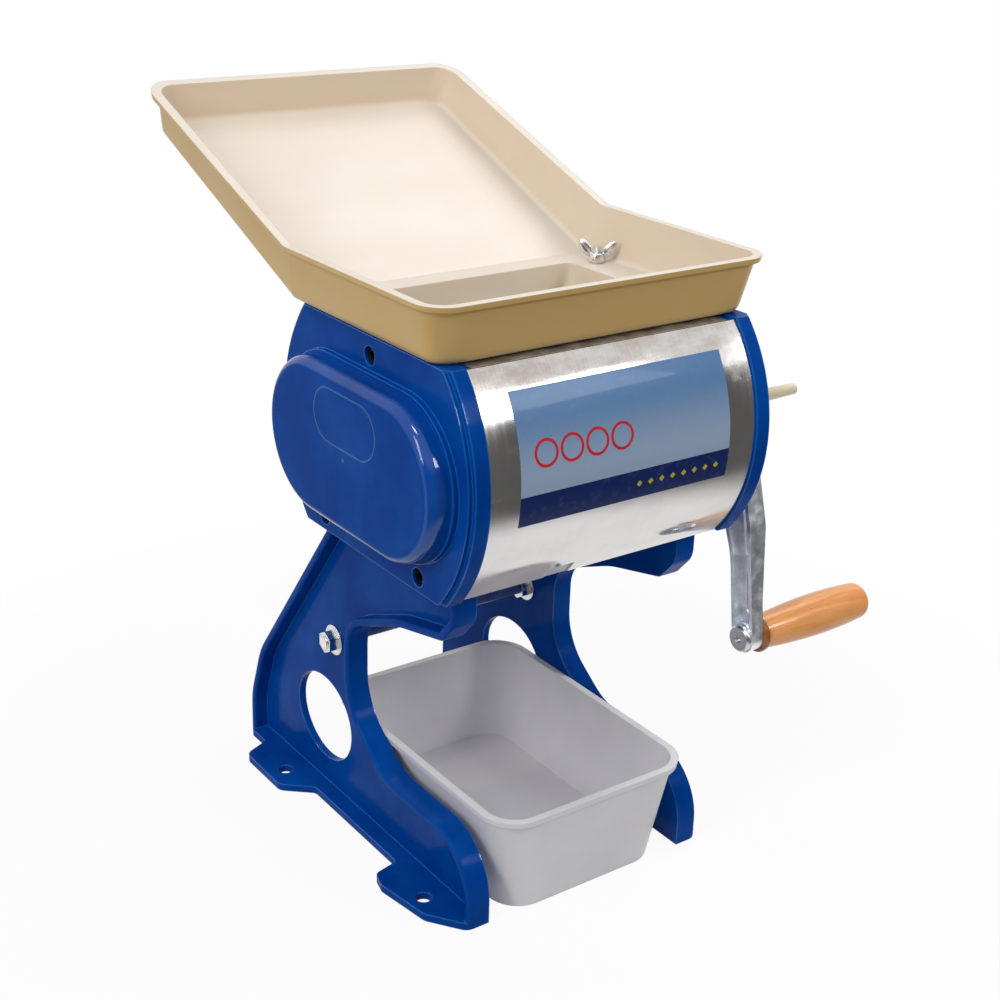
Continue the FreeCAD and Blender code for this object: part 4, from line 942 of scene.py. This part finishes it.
def pick(piece: bpy.types.Object, kind: str, test: Callable[[object], bool]) -> None:
    """Select what passes a test, and nothing else.

    Args:
        piece: the object in edit mode.
        kind: VERT or FACE.
        test: says whether an element is wanted.
    """
    bpy.ops.mesh.select_mode(type=kind)
    bpy.ops.mesh.select_all(action="DESELECT")
    mesh = bmesh.from_edit_mesh(piece.data)
    for element in {"VERT": mesh.verts, "FACE": mesh.faces}[kind]:
        if test(element):
            element.select = True
    mesh.select_flush_mode()
    bmesh.update_edit_mesh(piece.data)


def named(name: str) -> bpy.types.Object:
    """Name the primitive that was just added, and its mesh.

    Args:
        name: the new piece's name.

    Returns:
        The piece.
    """
    piece = bpy.context.object
    piece.name = name
    piece.data.name = name
    return piece


def applied(piece: bpy.types.Object, kind: str, **settings: object) -> None:
    """Add a modifier and apply it.

    Args:
        piece: the mesh object.
        kind: the modifier's type.
        settings: its options.
    """
    settle(piece)
    modifier = piece.modifiers.new(kind.title(), kind)
    for option, value in settings.items():
        setattr(modifier, option, value)
    bpy.ops.object.modifier_apply(modifier=modifier.name)


def finished(piece: bpy.types.Object, finish: Finish, body: Body, crisp: float) -> None:
    """Close a new piece: place into its mesh, normals out, smooth shading, finish and body.

    Args:
        piece: the new piece.
        finish: its finish.
        body: the body it rides on.
        crisp: edges sharper than this many degrees stay crisp.
    """
    settle(piece)
    bpy.ops.object.transform_apply(location=True, rotation=True, scale=True)
    with editing(piece):
        bpy.ops.mesh.select_all(action="SELECT")
        bpy.ops.mesh.remove_doubles(threshold=0.01 * MM)
        bpy.ops.mesh.normals_make_consistent(inside=False)
    bpy.ops.object.shade_smooth_by_angle(angle=math.radians(crisp))
    piece.data.materials.clear()
    piece.data.materials.append(finish.material())
    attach(piece, body.value)
    log.info("made %s: %d faces", piece.name, len(piece.data.polygons))


# ---------------------------------------------------------------- sub-assemblies


@dataclass
class Assembly(ABC):
    """A sub-assembly: it dresses its CAD nodes and adds the pieces that they lack."""

    frame: dict

    @abstractmethod
    def build(self) -> None:
        """Dress and model the sub-assembly."""

    def dress(self, finish: Finish, *names: str) -> None:
        """Give CAD nodes one finish.

        Args:
            finish: the finish.
            names: the nodes.
        """
        material = finish.material()
        for name in names:
            mesh = self.frame["nodes"][name].data
            mesh.materials.clear()
            mesh.materials.append(material)
            log.info("dressed %s in %s", name, material.name)

    def pivot(self, joint: str) -> Sequence[float]:
        """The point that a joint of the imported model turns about."""
        return next(found["pos_m"] for found in self.frame["joints"] if found["name"] == joint)


@dataclass
class Drum(Assembly):
    """The body: end plates, shells, gear cover, frames and the label.

    The label's top and low edges are angles above the level of the drum's axis.
    """

    label_half: float = 73 * MM
    label_lift: float = 0.15 * MM
    label_top: float = math.radians(32.6)
    label_low: float = math.radians(-10.8)
    label_thick: float = 0.12 * MM
    label_columns: int = 31
    label_rows: int = 40

    def build(self) -> None:
        """Dress the body's pieces and add the label."""
        self.dress(Enamel(), "left_end_plate", "right_end_plate")
        self.dress(CoverEnamel(), "gear_cover")
        self.dress(DrumSheet(axis=self.axis()), "front_shell", "rear_shell")
        casting = MetalFinish(
            "grey casting",
            bright=(0.56, 0.57, 0.58),
            dull=(0.42, 0.43, 0.44),
            smooth=0.38,
            coarse=0.6,
            marks=(60, 60, 60),
            marks_depth=0.1 * MM,
        )
        self.dress(casting, "feed_throat", "lower_frame")
        bronze = MetalFinish(
            "bronze", bright=(0.70, 0.47, 0.22), dull=(0.52, 0.33, 0.15), smooth=0.22, coarse=0.42
        )
        self.dress(bronze, "left_bushes", "right_bushes")
        # painted shade: near black screws that stand in for the dark of their holes
        screw = MetalFinish(
            "screw steel darkened as painted shade",
            bright=(0.02, 0.02, 0.022),
            dull=(0.01, 0.01, 0.011),
            smooth=0.4,
            coarse=0.6,
        )
        self.dress(screw, "plate_screws")
        self.label()

    def axis(self) -> Axis:
        """Find the drum's axis, in the middle of the box round its two shells.

        Returns:
            Its y and z.
        """
        low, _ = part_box("front_shell")
        _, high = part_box("rear_shell")
        return (low.y + high.y) / 2, (low.z + high.z) / 2

    def label(self) -> None:
        """Model the printed label: a strip spun about the drum's axis and thickened inwards."""
        axis_y, axis_z = self.axis()
        radius = axis_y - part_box("front_shell")[0].y + self.label_lift
        sweep = self.label_top - self.label_low
        low_y = axis_y - radius * math.cos(self.label_low)
        low_z = axis_z + radius * math.sin(self.label_low)
        middle = low_y + self.label_half
        clear_selection()
        bpy.ops.mesh.primitive_plane_add(size=2 * self.label_half, location=(0, middle, low_z))
        piece = named("drum_label")
        bpy.ops.object.transform_apply(location=True, rotation=False, scale=False)
        with editing(piece):
            pick(piece, "VERT", lambda vert: vert.co.y > middle)
            bpy.ops.mesh.delete(type="VERT")
            bpy.ops.mesh.select_all(action="SELECT")
            bpy.ops.mesh.subdivide(number_cuts=self.label_columns - 1)
            centre = (0, axis_y, axis_z)
            bpy.ops.mesh.spin(steps=self.label_rows, angle=sweep, center=centre, axis=(1, 0, 0))
            bpy.ops.mesh.select_all(action="SELECT")
            bpy.ops.mesh.normals_make_consistent(inside=False)
        if piece.data.polygons[0].normal.y > 0:
            piece.data.flip_normals()
        applied(piece, "SOLIDIFY", thickness=self.label_thick, offset=-1)
        finished(piece, PrintedLabel(axis=self.axis()), Body.HOUSING, crisp=40)


@dataclass
class Stands(Assembly):
    """The two cast stands with their rod, nuts, washers and screws."""

    def build(self) -> None:
        """Dress the stands."""
        self.dress(Enamel("stand enamel", round=1.3 * MM), "right_stand", "left_stand")
        self.dress(PaintedRod(), "stay_rod")
        zinc = MetalFinish(
            "bright zinc", bright=(0.80, 0.81, 0.80), dull=(0.58, 0.59, 0.58), smooth=0.16, coarse=0.34
        )
        self.dress(zinc, "stay_washers", "stay_nuts", "stand_screws")


@dataclass
class Cutter(Assembly):
    """The two bladed shafts, their gears and the combs."""

    def build(self) -> None:
        """Dress the cutter, with rings about each shaft's own axis."""
        for side, joint in (("drive", "crank_spin"), ("driven", "driven_spin")):
            _, back, up = self.pivot(joint)
            ground = TurnedSteel(
                f"{side} blade steel", bright=(0.68, 0.68, 0.68), dull=(0.5, 0.5, 0.51), axis=(back, up)
            )
            turned = TurnedSteel(
                f"{side} shaft steel",
                bright=(0.55, 0.55, 0.55),
                dull=(0.4, 0.4, 0.41),
                axis=(back, up),
                pitch=0.6 * MM,
                smooth=0.25,
            )
            self.dress(turned, f"{side}_shaft", f"{side}_gear", f"{side}_circlip")
            self.dress(ground, f"{side}_blades", f"{side}_spacers")
        combs = MetalFinish(
            "comb steel", bright=(0.66, 0.66, 0.66), dull=(0.5, 0.5, 0.5), smooth=0.22, coarse=0.4
        )
        self.dress(combs, "front_comb", "rear_comb", "comb_rods")


@dataclass
class FeedTray(Assembly):
    """The cream tray, its stud and its wing nut."""

    nut_turn: float = math.radians(-47)
    hub_radius: float = 5.5 * MM
    hub_tall: float = 6 * MM
    hub_taper: float = 0.84
    hub_round: float = 0.8 * MM
    wing_middle: tuple[float, float] = (7.2 * MM, 8.2 * MM)
    wing_half: Point = (6.6 * MM, 1.5 * MM, 3.3 * MM)
    wing_lean: float = math.radians(51)

    def build(self) -> None:
        """Dress the tray and its stud, and add the nut."""
        cream = TrayPlastic(
            "cream tray plastic",
            pale=(0.81, 0.735, 0.65),
            # the deep colour serves the clouding and the painted shade on the tray's walls, outside and
            # underside
            deep=(0.68, 0.46, 0.17),
            smooth=0.30,
            coarse=0.40,
            gloss=0.3,
            glow=0.12,
            flow_depth=0.05 * MM,
            round=1.2 * MM,
        )
        self.dress(cream, "tray")
        stud = StudThread(
            "stud thread", bright=(0.78, 0.79, 0.78), dull=(0.55, 0.56, 0.55), smooth=0.2, coarse=0.4
        )
        self.dress(stud, "tray_stud")
        self.wing_nut()

    def wing_nut(self) -> None:
        """Model the cast wing nut: a tapered hub with two rounded wings run into it."""
        clear_selection()
        bpy.ops.mesh.primitive_cylinder_add(
            vertices=48, radius=self.hub_radius, depth=self.hub_tall, location=(0, 0, self.hub_tall / 2)
        )
        piece = named("cast_wing_nut")
        bpy.ops.object.transform_apply(location=True, rotation=False, scale=False)
        with editing(piece):
            pick(piece, "FACE", lambda face: face.normal.z > 0.9)
            top = (0, 0, self.hub_tall)
            bpy.ops.transform.resize(value=(self.hub_taper, self.hub_taper, 1), center_override=top)
        applied(piece, "BEVEL", width=self.hub_round, segments=3, limit_method="ANGLE")
        for side in (-1, 1):
            self.add_wing(piece, side)
        across, back, _ = self.pivot("wing_nut_turn")
        piece.location = (across, back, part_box("wing_nut")[0].z)
        piece.rotation_euler = (0, 0, self.nut_turn)
        zinc = MetalFinish(
            "wing nut zinc",
            bright=(0.86, 0.86, 0.85),
            dull=(0.6, 0.61, 0.6),
            smooth=0.12,
            coarse=0.3,
            marks=(300, 300, 300),
            round=0.6 * MM,
        )
        finished(piece, zinc, Body.NUT, crisp=50)
        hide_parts("wing_nut")

    def add_wing(self, piece: bpy.types.Object, side: int) -> None:
        """Run one wing into the hub.

        Args:
            piece: the hub.
            side: 1 or -1, the wing's side.
        """
        out, up = self.wing_middle
        clear_selection()
        bpy.ops.mesh.primitive_uv_sphere_add(
            segments=32,
            ring_count=20,
            radius=1,
            location=(side * out, 0, up),
            rotation=(0, -side * self.wing_lean, 0),
            scale=self.wing_half,
        )
        wing = named("wing")
        applied(piece, "BOOLEAN", object=wing, operation="UNION", solver="EXACT")
        bpy.data.objects.remove(wing)


@dataclass
class CollectingBox(Assembly):
    """The loose white box."""

    def build(self) -> None:
        """Dress the box."""
        white = Moulded(
            "milky box plastic",
            pale=(0.88, 0.865, 0.885),
            deep=(0.80, 0.785, 0.82),
            smooth=0.34,
            coarse=0.48,
            glow=0.12,
            glow_tint=(1.0, 0.95, 1.0),
            glow_depth=5 * MM,
            round=0.9 * MM,
        )
        self.dress(white, "collecting_box")


@dataclass
class Crank(Assembly):
    """The crank: arm, knob, bolt, collar and wooden handle."""

    def build(self) -> None:
        """Dress the crank."""
        arm = MetalFinish(
            "polished arm casting",
            bright=(0.95, 0.97, 1.0),
            dull=(0.76, 0.79, 0.85),
            smooth=0.30,
            coarse=0.48,
            marks=(90, 90, 90),
            marks_depth=0.12 * MM,
            round=0.9 * MM,
        )
        self.dress(arm, "crank_arm")
        bolt = MetalFinish(
            "zinc bolt",
            bright=(0.74, 0.73, 0.76),
            dull=(0.58, 0.57, 0.61),
            smooth=0.22,
            coarse=0.34,
            marks=(60, 60, 60),
            marks_depth=0.01 * MM,
        )
        self.dress(bolt, "handle_bolt", "handle_nut")
        collar = Moulded(
            "brown collar", pale=(0.36, 0.13, 0.035), deep=(0.26, 0.09, 0.025), smooth=0.16, coarse=0.26
        )
        self.dress(collar, "handle_collar")
        knob = Moulded("cream knob", pale=(0.95, 0.84, 0.60), deep=(0.88, 0.74, 0.46), glow=0.1)
        self.dress(knob, "crank_knob")
        self.dress(TurnedWood(), "crank_handle")


# ---------------------------------------------------------------- floor, lamps and camera


@dataclass(frozen=True)
class Lamp:
    """A soft rectangular lamp: where it hangs, the point it faces, its size and its power."""

    name: str
    spot: Point
    aim: Point
    wide: float
    tall: float
    watts: float

    def hang(self) -> None:
        """Add the lamp to the scene."""
        data = bpy.data.lights.new(self.name, "AREA")
        data.shape = "RECTANGLE"
        data.size = self.wide
        data.size_y = self.tall
        data.energy = self.watts
        lamp = bpy.data.objects.new(self.name, data)
        bpy.context.scene.collection.objects.link(lamp)
        lamp.location = self.spot
        lamp.rotation_euler = (Vector(self.aim) - Vector(self.spot)).to_track_quat("-Z", "Y").to_euler()


@dataclass
class Studio:
    """A plain white room with soft lamps.

    To the camera the floor is nearly as white as the room, with a faint shadow, and it fades out
    round the machine. Polished metal shows the room as white, but dim low down in front.
    """

    floor_half: float = 3.0
    floor_fade: Span = (0.32, 0.55)
    floor_albedo: float = 0.60
    floor_shown: float = 0.80
    whiteness: float = 0.93
    room_light: float = 0.30
    dark_front: Span = (-0.25, 0.1)
    dark_height: Span = (0.28, 0.62)
    dark_share: float = 0.88
    lamps: tuple[Lamp, ...] = (
        Lamp("overhead lamp", spot=(0.75, 0.40, 1.45), aim=(0, 0, 0.25), wide=0.8, tall=0.7, watts=6),
        Lamp("top lamp", spot=(-0.50, -0.25, 1.45), aim=(0, 0, 0.25), wide=0.30, tall=0.20, watts=4),
        Lamp("left lamp", spot=(-1.35, -0.35, 1.00), aim=(0, 0, 0.22), wide=0.30, tall=0.8, watts=8),
        Lamp("front lamp", spot=(0.80, -1.15, 1.05), aim=(0.05, 0, 0.20), wide=0.4, tall=0.3, watts=5.5),
    )

    def build(self) -> None:
        """Set up the floor, the room and the lamps."""
        self.floor()
        self.room()
        for lamp in self.lamps:
            lamp.hang()

    def floor(self) -> None:
        """Lay the floor."""
        clear_selection()
        bpy.ops.mesh.primitive_plane_add(size=2 * self.floor_half, location=(0, 0, 0))
        piece = named("studio_floor")
        material = bpy.data.materials.new("studio floor")
        graph = Graph(material)
        camera, glossy, clear = self.rays(graph)
        seen = (camera + glossy + clear).at_most(1.0)
        shown = seen * (self.floor_shown - self.floor_albedo) + self.floor_albedo
        diffuse = graph.node("ShaderNodeBsdfDiffuse", {}, {"Color": graph.vector(shown, shown, shown)})
        glow = graph.node("ShaderNodeEmission", {}, {"Color": (1, 1, 1, 1), "Strength": 1.0})
        lit = graph.node("ShaderNodeMixShader", {}, {0: seen * self.whiteness, 1: diffuse, 2: glow})
        across, back, _ = graph.parts(graph.spot())
        fade = across.hypotenuse(back).spread(*self.floor_fade)
        gone = graph.node("ShaderNodeBsdfTransparent")
        graph.close(graph.node("ShaderNodeMixShader", {}, {0: fade, 1: lit, 2: gone}))
        piece.data.materials.append(material)

    def rays(self, graph: Graph) -> list[Wire]:
        """1 or 0 for a ray from the camera, one off a shiny surface and one through a clear one."""
        kinds = ("Is Camera Ray", "Is Glossy Ray", "Is Transmission Ray")
        return [graph.node("ShaderNodeLightPath", out=kind) for kind in kinds]

    def room(self) -> None:
        """Set up the room: white to the camera, grey as a light, and dim in front in reflections."""
        world = bpy.data.worlds.new("studio room")
        bpy.context.scene.world = world
        graph = Graph(world)
        camera, glossy, clear = self.rays(graph)
        _, back, up = graph.parts(graph.node("ShaderNodeTexCoord", out="Generated"))
        dark = back.spread(*self.dark_front, 1.0, 0.0) * up.spread(*self.dark_height, 1.0, 0.0)
        mirror = glossy * (1 - dark * self.dark_share)
        share = (camera + clear + mirror).at_most(1.0)
        strength = share + (1 - share) * self.room_light * (1 - glossy * dark)
        glow = graph.node("ShaderNodeBackground", {}, {"Color": (1, 1, 1, 1), "Strength": strength})
        graph.close(glow, "ShaderNodeOutputWorld")


@dataclass
class Viewpoint:
    """The camera, from the front left and above: place in metres, turn in degrees, lens in mm."""

    spot: Point = (-0.5463, -0.7630, 0.6000)
    turn: Point = (67.4908, -1.7570, -35.5486)
    lens: float = 59.04
    sensor: float = 36
    nearest: float = 0.01

    def build(self) -> None:
        """Add the camera and make it the scene's."""
        data = bpy.data.cameras.new("camera")
        data.sensor_fit = "HORIZONTAL"
        data.sensor_width = self.sensor
        data.lens = self.lens
        data.clip_start = self.nearest
        camera = bpy.data.objects.new("camera", data)
        bpy.context.scene.collection.objects.link(camera)
        turn = Euler([math.radians(angle) for angle in self.turn])
        camera.matrix_world = Matrix.Translation(self.spot) @ turn.to_matrix().to_4x4()
        bpy.context.scene.camera = camera


def main() -> None:
    """Load the frame, build every sub-assembly, and set up the studio."""
    logging.basicConfig(level=logging.INFO, format="%(name)s: %(message)s")
    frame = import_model()
    bpy.context.scene.view_settings.view_transform = "Standard"
    for assembly in (Drum, Stands, Cutter, FeedTray, CollectingBox, Crank):
        log.info("building %s", assembly.__name__)
        assembly(frame).build()
    Studio().build()
    Viewpoint().build()


if __name__ == "__main__":
    main()
